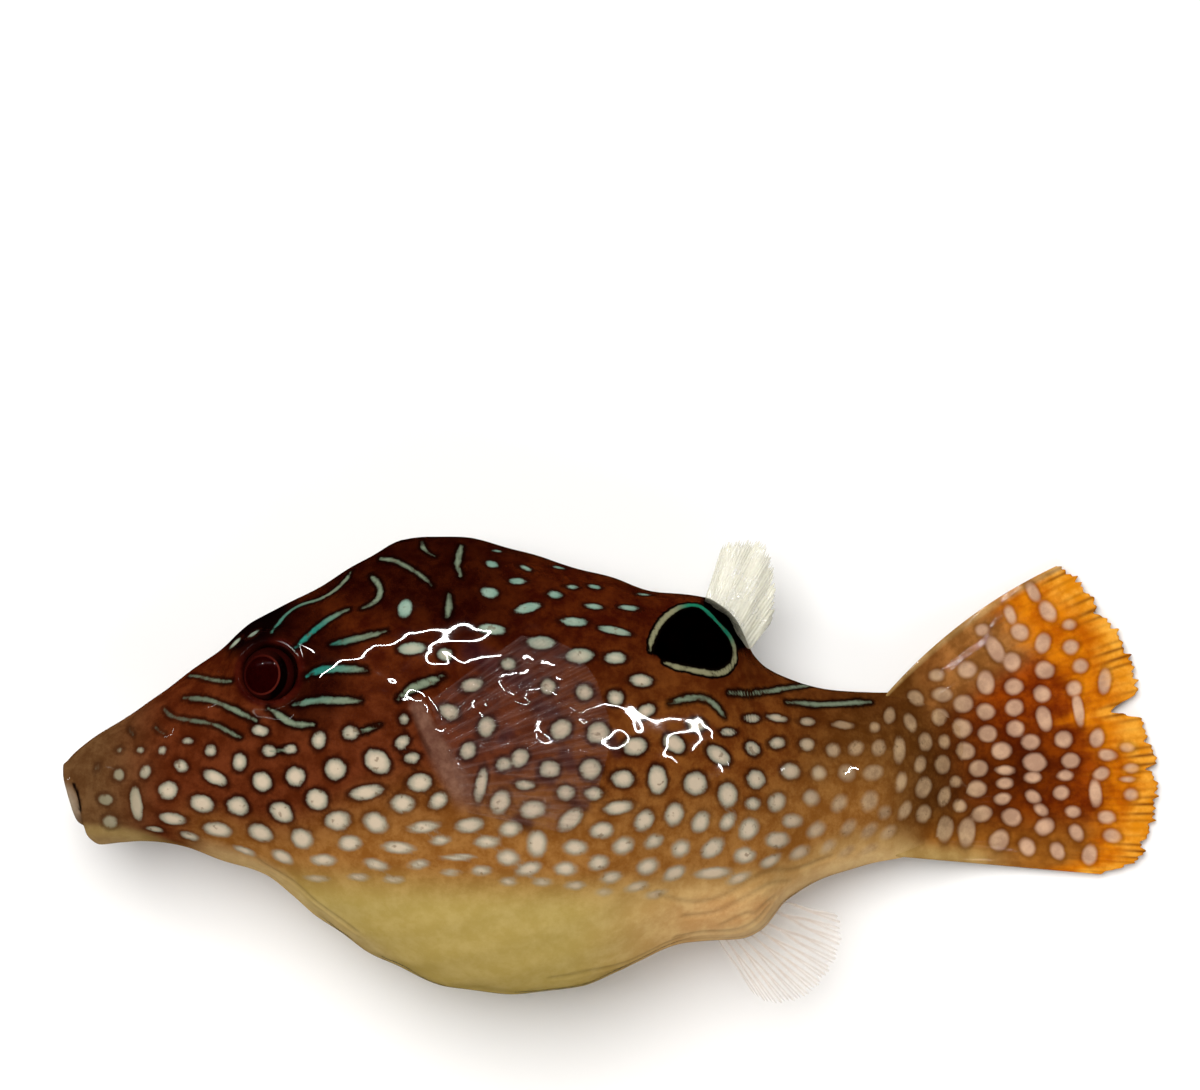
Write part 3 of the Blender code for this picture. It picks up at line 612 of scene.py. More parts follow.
BACK_SPOTS = (
    (18.2, 8.6, 1.01, 0.78, 85), (22.7, 10.9, 0.61, 0.51, 0), (22.6, 9.4, 0.94, 0.67, 0),
    (24.5, 10.7, 0.67, 0.40, -35), (24.1, 10.0, 0.88, 0.43, 0), (24.6, 8.6, 1.48, 0.57, 15),
    (26.0, 9.3, 0.74, 0.46, 0), (26.9, 9.7, 0.74, 0.30, 0), (28.1, 9.7, 0.67, 0.34, -15),
    (28.1, 8.7, 1.01, 0.38, -10), (29.9, 8.6, 1.08, 0.40, 0), (27.0, 7.9, 1.35, 0.51, -3),
    (29.2, 7.4, 1.75, 0.43, -12), (25.3, 6.8, 1.42, 0.70, 0), (27.3, 6.1, 1.42, 0.81, 5),
    (29.2, 6.0, 1.21, 0.67, 0), (30.6, 4.8, 1.28, 0.65, 0), (22.7, 7.5, 1.48, 0.61, -5),
    (23.0, 11.6, 0.54, 0.27, 0), (26.2, 10.7, 0.67, 0.24, -15), (29.5, 10.0, 0.81, 0.22, -5),
    (30.7, 9.3, 0.88, 0.24, 0), (18.6, 6.5, 1.48, 0.65, 5), (20.3, 6.2, 0.81, 0.67, 0),
    (23.6, 5.7, 0.81, 0.67, 0), (25.7, 4.5, 0.81, 0.81, 0), (21.7, 4.6, 1.21, 0.67, 15),
)
TAIL_SPOTS = (
    (39.3, 1.4, 0.9, 0.7, 10), (39.3, 2.6, 0.9, 0.4, 0), (41.2, 2.4, 1.1, 0.4, -5),
    (39.5, -1.4, 0.9, 0.8, 0), (39.8, -3.1, 1.1, 0.8, 30), (38.9, -4.3, 1.2, 0.7, 20),
    (40.4, -4.0, 1.0, 0.7, 40), (39.9, -0.1, 0.9, 0.8, 0), (41.4, -0.1, 0.9, 0.8, 0),
    (40.7, 1.1, 0.8, 0.7, 0), (41.9, 1.2, 0.9, 0.7, 30), (41.0, -1.7, 1.0, 0.8, 40),
    (41.5, -3.0, 1.0, 0.7, 40), (41.4, -4.3, 1.1, 0.6, 30), (43.7, 2.9, 0.94, 0.59, 60),
    (42.9, 2.3, 0.71, 0.53, 30), (45.1, 3.8, 0.89, 0.71, -40), (44.8, 2.5, 1.00, 0.71, -70),
    (46.3, 2.8, 0.94, 0.89, 0), (43.1, 1.2, 0.89, 0.77, 40), (44.2, 1.1, 1.36, 0.77, 80),
    (45.6, 1.5, 0.94, 0.85, 60), (46.6, 1.5, 0.77, 0.71, 0), (47.5, 2.2, 1.06, 1.00, 0),
    (42.8, -0.1, 1.24, 0.77, 10), (45.3, 0.3, 0.94, 0.73, 60), (46.5, 0.3, 1.00, 0.94, 0),
    (47.7, 1.0, 1.00, 0.89, -10), (48.9, 1.9, 0.94, 0.85, 0), (50.4, 2.2, 0.89, 0.83, 0),
    (44.3, -0.6, 1.06, 0.73, 70), (45.5, -0.9, 1.12, 1.00, 50), (47.2, -0.6, 0.77, 0.59, 0),
    (48.4, 0.1, 0.94, 0.83, 0), (49.6, 1.0, 1.06, 0.92, 0), (51.2, 1.5, 0.89, 0.77, 0),
    (52.9, 1.6, 0.89, 0.85, 0), (42.6, -1.6, 1.12, 0.94, 50), (43.4, -2.2, 0.73, 0.71, 0),
    (44.5, -2.1, 1.06, 0.73, 60), (46.6, -1.4, 1.06, 0.80, 70), (48.3, -1.0, 1.06, 0.85, 10),
    (49.8, 0.0, 0.94, 0.53, 0), (49.8, -0.7, 0.85, 0.59, 0), (51.4, 0.4, 1.12, 0.94, 0),
    (51.3, -0.4, 0.89, 0.59, 0), (53.3, 0.5, 0.85, 0.77, 0), (53.0, -0.3, 0.83, 0.53, 0),
    (45.5, -2.3, 0.97, 0.92, 0), (47.4, -1.9, 0.77, 0.73, 0), (49.7, -1.5, 0.89, 0.59, 10),
    (51.3, -1.4, 0.80, 0.61, -30), (51.7, -2.1, 0.73, 0.53, -30), (52.8, -1.2, 0.80, 0.73, 0),
    (42.6, -3.2, 1.06, 0.71, 45), (43.6, -3.3, 1.00, 0.71, 40), (46.6, -3.1, 1.36, 0.94, 85),
    (48.6, -2.3, 1.00, 0.85, 20), (47.8, -3.3, 1.48, 0.89, 85), (50.2, -2.5, 0.97, 0.89, -20),
    (51.9, -3.0, 1.00, 0.83, 20), (53.4, -2.2, 0.77, 0.61, 0), (49.5, -3.7, 1.12, 0.94, 50),
    (51.0, -4.1, 1.00, 0.80, -60), (53.6, -3.3, 0.89, 0.65, -60), (52.6, -4.3, 0.94, 0.71, -60),
    (54.3, -4.5, 1.12, 0.77, 80), (55.2, -2.5, 0.92, 0.71, -10), (54.6, -1.2, 1.42, 0.68, 95),
    (54.9, -0.2, 0.85, 0.65, 20), (55.2, 0.8, 0.94, 0.61, -10), (54.7, 1.7, 1.00, 0.77, 75),
    (48.8, 3.1, 0.94, 0.83, 0), (50.3, 3.3, 0.94, 0.85, 20), (51.9, 2.7, 1.30, 0.77, -75),
    (53.7, 3.2, 1.77, 0.59, -80), (47.6, 3.5, 1.00, 0.89, 0), (46.5, 4.0, 1.06, 0.73, 0),
    (48.8, 4.6, 1.24, 0.89, -80), (50.3, 4.4, 0.94, 0.83, 20), (51.8, 4.0, 0.89, 0.85, 0),
    (53.5, 4.3, 0.85, 0.80, 60), (47.8, 5.3, 1.00, 0.89, 0), (50.2, 5.7, 1.00, 0.89, -80),
    (51.9, 5.3, 0.97, 0.89, 0), (53.8, 5.5, 0.77, 0.73, 0), (55.1, 4.7, 1.30, 0.65, 85),
    (49.3, 6.4, 1.42, 0.77, -60), (51.8, 6.7, 1.04, 0.80, 80), (53.3, 6.5, 0.80, 0.77, 0),
    (50.6, 7.3, 1.00, 0.85, -40), (52.1, 8.4, 1.18, 0.80, -60), (53.2, 7.7, 0.65, 0.53, 0),
    (48.6, 7.4, 0.71, 0.65, 0), (46.2, 5.0, 0.83, 0.65, 0), (50.1, 8.2, 1.06, 0.59, -70),
    (55.5, -3.5, 0.89, 0.73, -20), (56.5, -1.3, 0.59, 0.71, 80), (56.5, 0.1, 0.71, 0.47, 0),
    (56.3, -0.5, 0.71, 0.30, 0), (56.3, 1.2, 0.47, 0.71, 85), (51.3, 9.4, 1.06, 0.59, -60),
    (42.6, -4.2, 1.18, 0.59, 30),
)
BODY_SPOTS = SNOUT_SPOTS + CHEEK_SPOTS + FLANK_SPOTS + BACK_SPOTS


def spot_edge(points, spots, side):
    """Signed distance in mm from every point to the nearest spot, below 0 inside one."""
    best = np.full(len(points), NEAR)
    for along, up, length, width, slant in spots:
        place, run, rise, _ = flank_frame(along, up, side)
        near = np.flatnonzero((np.abs(points - place) < NEAR).all(axis=1))
        long_way = math.cos(math.radians(slant)) * run + math.sin(math.radians(slant)) * rise
        offset = points[near] - place
        lengthwise = offset @ long_way
        across = np.sqrt(np.maximum((offset**2).sum(axis=1) - lengthwise**2, 0.0))
        reach = np.hypot(lengthwise * 2 / length, across * 2 / width)
        gap = (reach - 1) * math.sqrt(length * width) / 2
        best[near] = np.minimum(best[near], gap)
    return best


def strayed(spots):
    """The same spots a little out of place, as one flank never mirrors the other."""
    chance = np.random.default_rng(7)
    for along, up, length, width, slant in spots:
        shift = chance.uniform(-0.22, 0.22, 2)
        turn = chance.uniform(-18.0, 18.0)
        yield along + shift[0], up + shift[1], length, width, slant + turn


SKIN_SPOTS = BODY_SPOTS + tuple(spot for spot in TAIL_SPOTS if spot[0] < 49.3)
spots = np.minimum(
    spot_edge(bare, SKIN_SPOTS, 1), spot_edge(bare, tuple(strayed(SKIN_SPOTS)), -1)
)
print("spots:", len(BODY_SPOTS), "a side;", (spots < 0).mean().round(3), "of the points")

# %% [markdown]
# The lines: they ray out from the eye over the cheek and nape, bend round the snout and
# run along the root of the tail. Near the eye they are blue-green, farther off pale.

# %% Lines and the ringed eye-spot
LINES = (
    (0.22, ((11.25, 7.2), (11.4, 7.7), (11.8, 8.25), (12.5, 8.75), (13.4, 9.0), (14.1, 9.3),
            (14.8, 9.8), (15.3, 10.5))),
    (0.30, ((12.45, 6.45), (13.0, 7.05), (13.5, 7.55), (14.0, 7.95), (14.7, 8.35), (15.2, 8.5))),
    (0.27, ((14.3, 6.7), (15.2, 6.9), (16.2, 7.1), (17.2, 7.4))),
    (0.34, ((12.95, 5.05), (13.4, 5.25), (14.0, 5.4), (15.1, 5.45), (16.2, 5.35))),
    (0.30, ((12.3, 3.6), (13.0, 3.7), (14.4, 3.8), (15.9, 3.75))),
    (0.26, ((11.0, 3.35), (11.4, 3.15), (11.9, 2.75), (12.4, 2.5), (13.4, 2.5))),
    (0.18, ((6.5, 3.85), (7.7, 3.8), (8.6, 3.55), (9.1, 3.3), (9.9, 2.95), (10.4, 2.7))),
    (0.13, ((5.4, 3.3), (5.7, 3.0), (6.1, 2.8), (6.9, 2.7), (8.2, 2.5), (8.9, 2.1), (9.6, 1.8))),
    (0.15, ((6.7, 5.0), (7.5, 4.9), (8.3, 4.75), (9.1, 4.65))),
    (0.10, ((4.95, 2.35), (5.25, 2.1), (5.5, 1.95))),
    (0.10, ((3.6, 2.25), (3.8, 1.9))),
    (0.26, ((16.3, 10.3), (16.8, 9.9), (16.9, 9.4), (16.6, 8.9), (15.9, 8.6))),
    (0.20, ((16.8, 11.2), (17.6, 11.1), (18.3, 10.7), (18.8, 10.5), (19.6, 9.8))),
    (0.19, ((19.0, 12.1), (19.1, 11.7), (19.7, 11.3))),
    (0.24, ((21.1, 11.9), (21.0, 11.5), (20.9, 10.9), (21.1, 10.2))),
    (0.38, ((20.5, 9.3), (20.5, 8.7), (20.4, 8.2))),
    (0.36, ((17.9, 3.9), (18.5, 4.4), (19.3, 4.7), (20.2, 5.0))),
    (0.16, ((11.1, 1.1), (12.2, 1.2))),
    (0.20, ((15.4, 2.1), (16.1, 2.2), (16.9, 2.5))),
    (0.20, ((35.2, 4.15), (36.4, 4.05), (37.6, 4.25), (38.6, 4.4), (39.6, 4.45))),
    (0.20, ((38.2, 3.6), (40.6, 3.5), (42.7, 3.6))),
    (0.26, ((32.0, 3.6), (33.0, 3.9), (33.8, 3.9), (34.4, 3.6), (34.9, 2.9))),
)
RING_WIDTH = 0.25
RING = (
    (31.0, 6.3), (31.1, 6.9), (31.4, 7.6), (31.9, 8.2), (32.6, 8.65), (33.4, 8.75),
    (33.9, 8.6), (34.7, 7.8), (35.3, 7.0), (35.55, 6.3), (35.45, 5.6), (34.8, 5.15),
    (34.0, 5.15), (33.0, 5.4), (32.4, 5.5), (31.7, 5.75),
)


def stroke_edge(points, lines, side):
    """Signed distance in mm to the nearest line's edge, each thinner at its tips."""
    gaps = []
    for width, places in lines:
        line = on_flank(places, side)
        tips = [np.linalg.norm(points - tip, axis=1) for tip in (line[0], line[-1])]
        taper = 0.3 + 0.7 * ease(np.minimum(*tips), 0.0, 0.8)
        gaps.append(line_distance(points, line) - width / 2 * taper)
    return np.min(gaps, axis=0)


def inside(places, shape):
    """Which of the flat places lie in a closed shape of drawn corners."""
    found = np.zeros(len(places), bool)
    for (x0, y0), (x1, y1) in zip(shape, shape[1:] + shape[:1]):
        crosses = (y0 > places[:, 1]) != (y1 > places[:, 1])
        at = x0 + (places[:, 1] - y0) * (x1 - x0) / (y1 - y0 if y1 != y0 else 1.0)
        found ^= crosses & (places[:, 0] < at)
    return found


level = through(MIDDLE_HEIGHT, station)
above = level + np.abs(bare[:, 2] - level)
read = EYE_POINT + (bare[:, :2] + ORIGIN - EYE_POINT) / nearer(above)[:, None]
lines, ring_edge = (
    np.minimum(stroke_edge(bare, strokes, 1), stroke_edge(bare, strokes, -1))
    for strokes in (LINES, ((RING_WIDTH, RING),))
)
ring_black = inside(read, RING)
print("points in the eye-spot:", ring_black.sum())

# %% [markdown]
# Where the ground colour changes: tan below, grey-brown on the snout, dark over the nape,
# olive-brown at the tail, and a bare purple band at the root of the breast fin. Each is a
# soft share from 0 to 1, drawn along a curve and kept on the mesh. A painter would mask
# them by hand. A share that a curve gives can be moved by changing one number.

# %% Shares of the belly, the back and the tail
BELLY_EDGE = (
    (0.0, -3.2), (3.0, -3.4), (7.2, -4.7), (11.7, -5.8), (15.2, -6.1), (31.0, -6.6),
    (33.7, -6.3), (36.9, -6.1), (41.6, -4.3), (46.0, -3.9), (50.0, -4.6),
)
along, up = read[:, 0], read[:, 1]


def over(shape):
    """How near, in read mm, each point lies to a smoothed line, on both sides at once."""
    flat = np.stack((along, up), axis=1)
    return line_distance(flat, rounded(shape))


def tail_shares(along, up):
    """Shares of the tail fin's colours, shared by the skin that runs out over it."""
    return {
        "rust": ease(along + 0.25 * up, 45.5, 51.0),
        "tail_low": ease(up, -1.6, -4.0) * ease(along, 44.0, 47.0),
        "upper": ease(up - 0.62 * (along - 44.5), 0.9, 2.9) * ease(along, 44.5, 47.5),
        "middle": 0.85 * bell(np.hypot((along - 50.4) / 3.7, (up + 0.2) / 2.9), 1.0),
        "tail_rim": 0.9 * ease(up + 0.05 * along, -1.2, -2.3) * ease(along, 51.5, 47.0)
                    * ease(along, 42.0, 45.0),
    }


edge = up - through(BELLY_EDGE, along)
keel_line = up - through(BELLY_LINE, along, 2)
on_fin = ease(along, 42.5, 46.0)
off_fin = 1.0 - on_fin
low_reach = 0.75 + 0.75 * ease(along, 10.0, 19.0)
belly = ease(edge / (0.4 + 0.6 * ease(along, 5.0, 13.0)), 1.5, -1.2)
skin_shares = {
    "rear": ease(along, 22.0, 33.0),
    "tail": ease(along, 36.0, 42.5),
    "low": ease(edge / low_reach, 4.9, 1.1) * ease(along, 5.0, 9.0) * off_fin,
    "back": ease(up, 0.3, 8.0) * off_fin,
    "pale_back": ease(up, 4.0, 9.5),
    "belly": belly * off_fin,
    "belly_rear": belly * ease(along, 26.0, 35.0) * off_fin,
    "belly_fore": belly * ease(along, 10.0, 4.0),
    **tail_shares(along, up),
}
keel_run = ease(along, 6.0, 9.0) * ease(along, 19.0, 15.0) + ease(along, 31.0, 36.0)
skin_shares["keel"] = 0.5 * ease(keel_line, 1.0, 0.2) * keel_run * off_fin
print("share of belly:", belly.mean().round(2), "and of back:", skin_shares["back"].mean().round(2))

# %% Shares of the head
eye_rays = over(((11.6, 7.6), (12.8, 7.0), (13.2, 5.6), (12.8, 4.3)))
nape = 0.85 * ease(eye_rays, 3.2, 0.8) * ease(along, 10.2, 11.6)
hump = 0.8 * ease(up + 0.25 * (along - 14.0), 7.0, 10.5) * ease(along, 28.0, 20.0)
brow = over(((9.4, 6.9), (10.4, 7.4), (11.2, 8.1)))
eye_gap = np.full(len(bare), FAR)
lid_shine = np.zeros(len(bare))
for side in (1, -1):
    offset, height, across = about_axis(bare, *eye_frame(side))
    across = np.where(height > -EYE_SIDE, across, FAR)
    eye_gap = np.minimum(eye_gap, across)
    lean = offset @ np.array((0.67, 0.74, 0.0)) / np.maximum(across, 0.1)
    lid_shine += ease(lean, 0.86, 0.97) * ease(across, 2.1, 1.95)
around_eye = ease(eye_gap, 2.4, 2.1) * (1 - lid_shine)
lip_gap = np.hypot((up + 1.6) / 1.35, (bare[:, 2] - SNOUT_TIP[1]) / 1.7)
tip = ease(station, 1.35, 0.8) * ease(lip_gap, 1.05, 0.5)
skin_shares |= {
    "fore": ease(along, 10.0, 4.0),
    "snout": ease(along, 6.0, 1.5),
    "chin": ease(along, 4.5, 2.0) * ease(up, -2.4, -3.6),
    "nape": np.maximum(nape, hump),
    "brow": ease(brow, 1.5, 0.45) * ease(along, 12.6, 11.4),
    "lid": 0.9 * ease(eye_gap, 2.05, 1.75),
    "lip": tip,
}
print("points in the brow:", (skin_shares["brow"] > 0.5).sum())

# %% Shares of the film, the fin's root and the creases with their painted shade
BLOTCHES = (
    (0.9, ((21.6, 6.2), (23.2, 5.4), (24.4, 4.6))), (0.7, ((25.2, 3.3), (25.9, 3.0))),
    (0.6, ((26.5, 0.9), (26.9, 0.2))), (0.5, ((25.3, -0.3), (25.8, -0.6))),
    (0.5, ((27.0, -1.7), (27.6, -1.9))), (0.5, ((23.2, 1.6), (23.6, 2.0))),
    (0.5, ((29.3, 0.9), (29.0, 1.6))), (0.5, ((24.0, -2.6), (24.6, -2.9))),
)
bruise = np.zeros(len(along))
for width, places in BLOTCHES:
    bruise = np.maximum(bruise, ease(over(places), width, 0.25 * width))
root_width = 0.45 + 0.3 * ease(up, 3.0, -0.5)
root_band = ease(over(BREAST_ROOT) / root_width, 1.3, 0.4) * ease(up, -2.6, -1.0)
teal = np.maximum.reduce((
    ease(np.hypot(along - 12.6, up - 6.2), 3.6, 1.2) * ease(along, 10.6, 11.4),
    ease(over(((33.6, 8.5), (34.7, 7.4))), 1.4, 0.5),
    0.45 * ease(np.hypot(along - 10.0, up - 6.8), 1.8, 0.6),
))
patch = over(((34.15, 8.85), (35.1, 8.1), (35.7, 7.2), (35.85, 6.6)))
film_share = ease(over(((22.8, 2.6), (24.6, 3.4), (26.0, 2.6))), 2.2, 1.0)
mouth_slit = bell(mouth_gap, 0.09) * ease(mouth_span, 1.1, 0.7) * at_tip
skin_shares |= {
    "bruise": 0.75 * bruise,
    "film": film_share,
    "ripples": 0.45 + 0.6 * film_share - 0.20 * ease(along, 27.0, 31.0),
    "dry": np.maximum(0.95 * ease(along - 3.5 * ease(up, 5.2, 4.2), 11.0, 9.0),
                      0.97 * around_eye),
    "root": 0.8 * root_band,
    "teal": teal,
    "black": np.maximum(ease(patch, 0.5, 0.3), ring_black),
    # painted shade: darker along the lip crease, the gill slit, the belly's creases and the mouth
    # slit
    "crease": np.maximum.reduce((
        ease(over(LIP_CREASE), 0.13, 0.04), 0.3 * ease(over(GILL_SLIT), 0.2, 0.05),
        0.22 * bell(folds, 0.13), 0.8 * mouth_slit,
    )),
}
rimless = (1 - skin_shares["low"]) * (1 - 0.7 * skin_shares["tail"])
forward = 1 - 0.5 * skin_shares["fore"]
# for each kind: distance to its edge, share of its rim, softness of its edge, its fill
KINDS = {
    "spot": (
        spots + 0.035, 0.9 * rimless * forward,
        0.10 + 0.09 * skin_shares["low"] + 0.04 * skin_shares["tail"],
        0.95 - 0.72 * skin_shares["belly"] - 0.3 * skin_shares["snout"],
    ),
    "line": (lines, 0.9 * forward * ease(spots, -0.05, 0.12), 0.08,
             1 - 0.6 * skin_shares["fore"]),
    "ring": (ring_edge, 1.0, 0.055, 1.0),
}
PARTS = ("", "_rim", "_soft", "_fill")
for kind, values in KINDS.items():
    keep(skin_mesh, {kind + part: value for part, value in zip(PARTS, values)})
keep(skin_mesh, skin_shares)
print("kept on the skin:", len(KINDS), "kinds of mark and", len(skin_shares), "shares")

# %% [markdown]
# The skin's map: unrolled like the sleeve it came from, with its seam along the back's
# ridge. The colours don't need it, but whoever takes this model elsewhere does.

# %% Map of the skin
def sleeve_map(mesh, ring, column):
    """A flat map of the sleeve: stations along it and angles across it."""
    corners = np.empty(len(mesh.loops), int)
    mesh.loops.foreach_get("vertex_index", corners)
    sizes = np.empty(len(mesh.polygons), int)
    mesh.polygons.foreach_get("loop_total", sizes)
    starts = np.concatenate(([0], np.cumsum(sizes)[:-1]))
    face = np.repeat(np.arange(len(sizes)), sizes)
    across = column[corners].astype(float)
    pole = (ring[corners] == 0) | (ring[corners] == RINGS + 1)
    top = np.maximum.reduceat(np.where(pole, -1, across), starts)
    low = np.minimum.reduceat(np.where(pole, COLUMNS, across), starts)
    wraps = (top - low > COLUMNS / 2)[face]
    across = np.where(wraps & (across == 0), COLUMNS, across)
    across = np.where(pole, low[face] + 0.5, across)
    flat = np.stack((ring[corners] / (RINGS + 1), across / COLUMNS), axis=1)
    mesh.uv_layers.new(name="OFBake").data.foreach_set("uv", flat.astype(np.float32).ravel())


sleeve_map(skin_mesh, ring, column)
stand("skin", skin_mesh, "skin", "head", "trunk", "tail")
print("skin mapped and on the body")

# %% [markdown]
# Fresh wet fish skin: pigment cells in a scaleless hide under a film of water and slime.
# The pigment gives soft-edged spots with dark rims. It could be painted on a picture by
# hand, but a picture blurs when the camera comes close. Here tones are laid over each
# other as a painter glazes, each clouded by a noise and held by a share on the mesh.

# %% Tones of the ground
RGBA = {"out": 2, "data_type": "RGBA"}
SOFT = {"interpolation_type": "SMOOTHSTEP"}


def new_material(name):
    """A material with a tree of its own, and its shader."""
    made = bpy.data.materials.new(name)
    made.use_nodes = True
    tree = made.node_tree
    return made, tree, tree.nodes["Principled BSDF"]


def mottled(tree, roughness):
    """Object places, the pigment's fine noise, and that noise as a share from 0 to 1."""
    place = add(tree, "TexCoord", out="Object")
    size = {"Vector": place, "Scale": 900.0, "Detail": 5.0, "Roughness": roughness}
    mottle = add(tree, "TexNoise", size)
    return place, mottle, add(tree, "MapRange", {0: mottle, 1: 0.35, 2: 0.7}, **SOFT)


def glazed(tree, tone, cloud, glazes):
    """Lay clouded tones over a tone, each by the share that the mesh keeps for it."""
    for name, dark, light in glazes:
        glaze = add(tree, "Mix", {0: cloud, 6: colour(dark), 7: colour(light)}, **RGBA)
        amount = add(tree, "Attribute", out="Fac", attribute_name=name)
        tone = add(tree, "Mix", {0: amount, 6: tone, 7: glaze}, **RGBA)
    return tone


TAIL_GLAZES = (
    ("rust", "#682103", "#9c4407"), ("tail_low", "#7d4611", "#9a5f20"),
    ("upper", "#7d4d20", "#a86f38"), ("middle", "#2f0e03", "#431802"),
    ("tail_rim", "#9a7a44", "#b4975c"),
)
GROUND_GLAZES = (
    ("rear", "#5c2b0b", "#7b481b"), ("tail", "#4f2b0b", "#68411b"), *TAIL_GLAZES,
    ("low", "#7c4b1b", "#976834"), ("back", "#340b03", "#512008"),
    ("nape", "#120101", "#230602"), ("snout", "#4f3118", "#66472a"),
    ("chin", "#654729", "#785a36"), ("bruise", "#260c10", "#3a1a1c"),
    ("belly", "#a58d4b", "#b1995a"), ("belly_rear", "#bd8d58", "#d0a76f"),
    ("belly_fore", "#846842", "#93784e"), ("keel", "#bda070", "#cbb07e"),
    ("lip", "#a3927b", "#b5a48d"), ("root", "#5f3d30", "#7d5c4b"),
    ("lid", "#250403", "#3c0e07"), ("brow", "#060101", "#0d0202"),
    ("black", "#000000", "#010000"),
)

wet_skin, tree, shader = new_material("wet_scaleless_fish_skin")
place, mottle, cloud = mottled(tree, 0.68)
speck = add(tree, "TexNoise", {"Vector": place, "Scale": 2600.0, "Detail": 2.0})
ground = add(tree, "Mix", {0: cloud, 6: colour("#461a07"), 7: colour("#602c14")}, **RGBA)
ground = glazed(tree, ground, cloud, GROUND_GLAZES)
print("ground:", len(GROUND_GLAZES), "glazes over the cheek's brown")

# %% Spots, lines and ring over the ground
# mark, wobble and grit of its edge, reach and tone of its rim, its tones at the edge and
# in the middle, and its own glazes
DRAWN = (
    ("spot", 0.35, 0.12, 0.36, "#220803", ("#8f8b78", "#c0ae96"), (
        ("pale_back", "#6f9080", "#8da594"), ("tail", "#8d7154", "#b39570"),
        ("rust", "#a87f5c", "#c69a70"), ("snout", "#8a8468", "#999278"),
    )),
    ("line", 0.22, 0.16, 0.32, "#0e0201", ("#6a7560", "#868c74"), (
        ("fore", "#566150", "#6a705b"), ("teal", "#1a665a", "#307c6e"),
    )),
    ("ring", 0.22, 0.12, 0.20, "#050201", ("#7d7a5c", "#918b6b"), (
        ("teal", "#155e48", "#1f7658"),
    )),
)
RIM_FULL = 0.09
HEART = -0.35
uneven = add(tree, "Math", {0: mottle, 1: 0.5}, operation="SUBTRACT")
gritty = add(tree, "Math", {0: speck, 1: 0.5}, operation="SUBTRACT")
pinprick = {0: speck, 1: 0.61, 2: 0.72, 3: 0.0, 4: 0.55}
pinprick = add(tree, "MapRange", pinprick, **SOFT)
for name, wobble, grit, reach, rim_tone, tones, glazes in DRAWN:
    kept, most_rim, softness, most = (
        add(tree, "Attribute", out="Fac", attribute_name=name + part)
        for part in PARTS
    )
    edge = add(tree, "Math", {0: uneven, 1: wobble, 2: kept}, operation="MULTIPLY_ADD")
    edge = add(tree, "Math", {0: gritty, 1: grit, 2: edge}, operation="MULTIPLY_ADD")
    rim = add(tree, "MapRange", {0: edge, 1: reach, 2: RIM_FULL, 3: 0.0, 4: most_rim}, **SOFT)
    ground = add(tree, "Mix", {0: rim, 6: ground, 7: colour(rim_tone)}, **RGBA)
    heart = add(tree, "MapRange", {0: edge, 1: 0.0, 2: HEART}, **SOFT)
    pale = add(tree, "Mix", {0: heart, 6: colour(tones[0]), 7: colour(tones[1])}, **RGBA)
    pale = glazed(tree, pale, cloud, glazes)
    pale = add(tree, "Mix", {0: pinprick, 6: pale, 7: colour("#5f4a33")}, **RGBA)
    scaled = add(tree, "Math", {0: edge, 1: softness}, operation="DIVIDE")
    fill = add(tree, "MapRange", {0: scaled, 1: 1.0, 2: -1.0, 3: 0.0, 4: most}, **SOFT)
    ground = add(tree, "Mix", {0: fill, 6: ground, 7: pale}, **RGBA)
# last, painted shade: the creases and slits are darkened where shade falls in them
ground = glazed(tree, ground, cloud, (("crease", "#0d0503", "#120704"),))
print("skin colour:", len(tree.nodes), "nodes")

# %% [markdown]
# The wet film gives sharp, broken highlights, so it is a clear coat with its own slow
# ripples, over a duller hide with fine prickles. The snout and the lids are nearly dry. A
# single glossy shader would give either the hide's dull look or the film's sharp one.

# %% Wet film over the hide
WET_HIDE = {"Roughness": 0.6, "Specular IOR Level": 0.0, "Coat IOR": 1.34}
PLEAT_SLANT = math.radians(-28.0)

prickle = add(tree, "TexNoise", {"Vector": place, "Scale": 5200.0, "Detail": 2.0})
hide = add(tree, "Bump", {"Strength": 0.5, "Distance": 0.00005, "Height": prickle})
ripple = {"Vector": place, "Scale": 430.0, "Detail": 1.0, "Distortion": 0.5}
ripple = add(tree, "TexNoise", ripple)
slant = add(tree, "Mapping", {"Vector": place, "Rotation": (0.0, 0.0, PLEAT_SLANT)})
pleat = {"Vector": slant, "Scale": 160.0, "Distortion": 3.0, "Detail": 1.0, "Detail Scale": 0.8}
pleat = add(tree, "TexWave", pleat, "Fac")
pleated, rough, dry = (
    add(tree, "Attribute", out="Fac", attribute_name=name) for name in ("film", "ripples", "dry")
)
pleat = add(tree, "Math", {0: pleat, 1: pleated}, operation="MULTIPLY")
ripple = add(tree, "Math", {0: ripple, 1: 0.5}, operation="SUBTRACT")
ripple = add(tree, "Math", {0: ripple, 1: rough}, operation="MULTIPLY")
swell = add(tree, "Math", {0: pleat, 1: 0.22, 2: ripple}, operation="MULTIPLY_ADD")
film = add(tree, "Bump", {"Strength": 1.0, "Distance": 0.0004, "Height": swell})
wet = add(tree, "Math", {0: 1.0, 1: dry}, operation="SUBTRACT")
feed(tree, shader, WET_HIDE | {
    "Base Color": ground, "Normal": hide, "Coat Normal": film, "Coat Weight": wet,
    "Coat Roughness": 0.04,
})
skin_mesh.materials.append(wet_skin)
print("skin material:", len(tree.nodes), "nodes")

# %% [markdown]
# The eye. A puffer's eye is a short dome under clear skin. Seen close it has a dark red
# iris, a thin brighter ring round the pupil and a nearly black pupil that looks forward.
# It could be a plain ball with a painted ring. Here its section is turned on a lathe, so
# that the ring and the pupil stand in relief, and a clear cornea covers it.

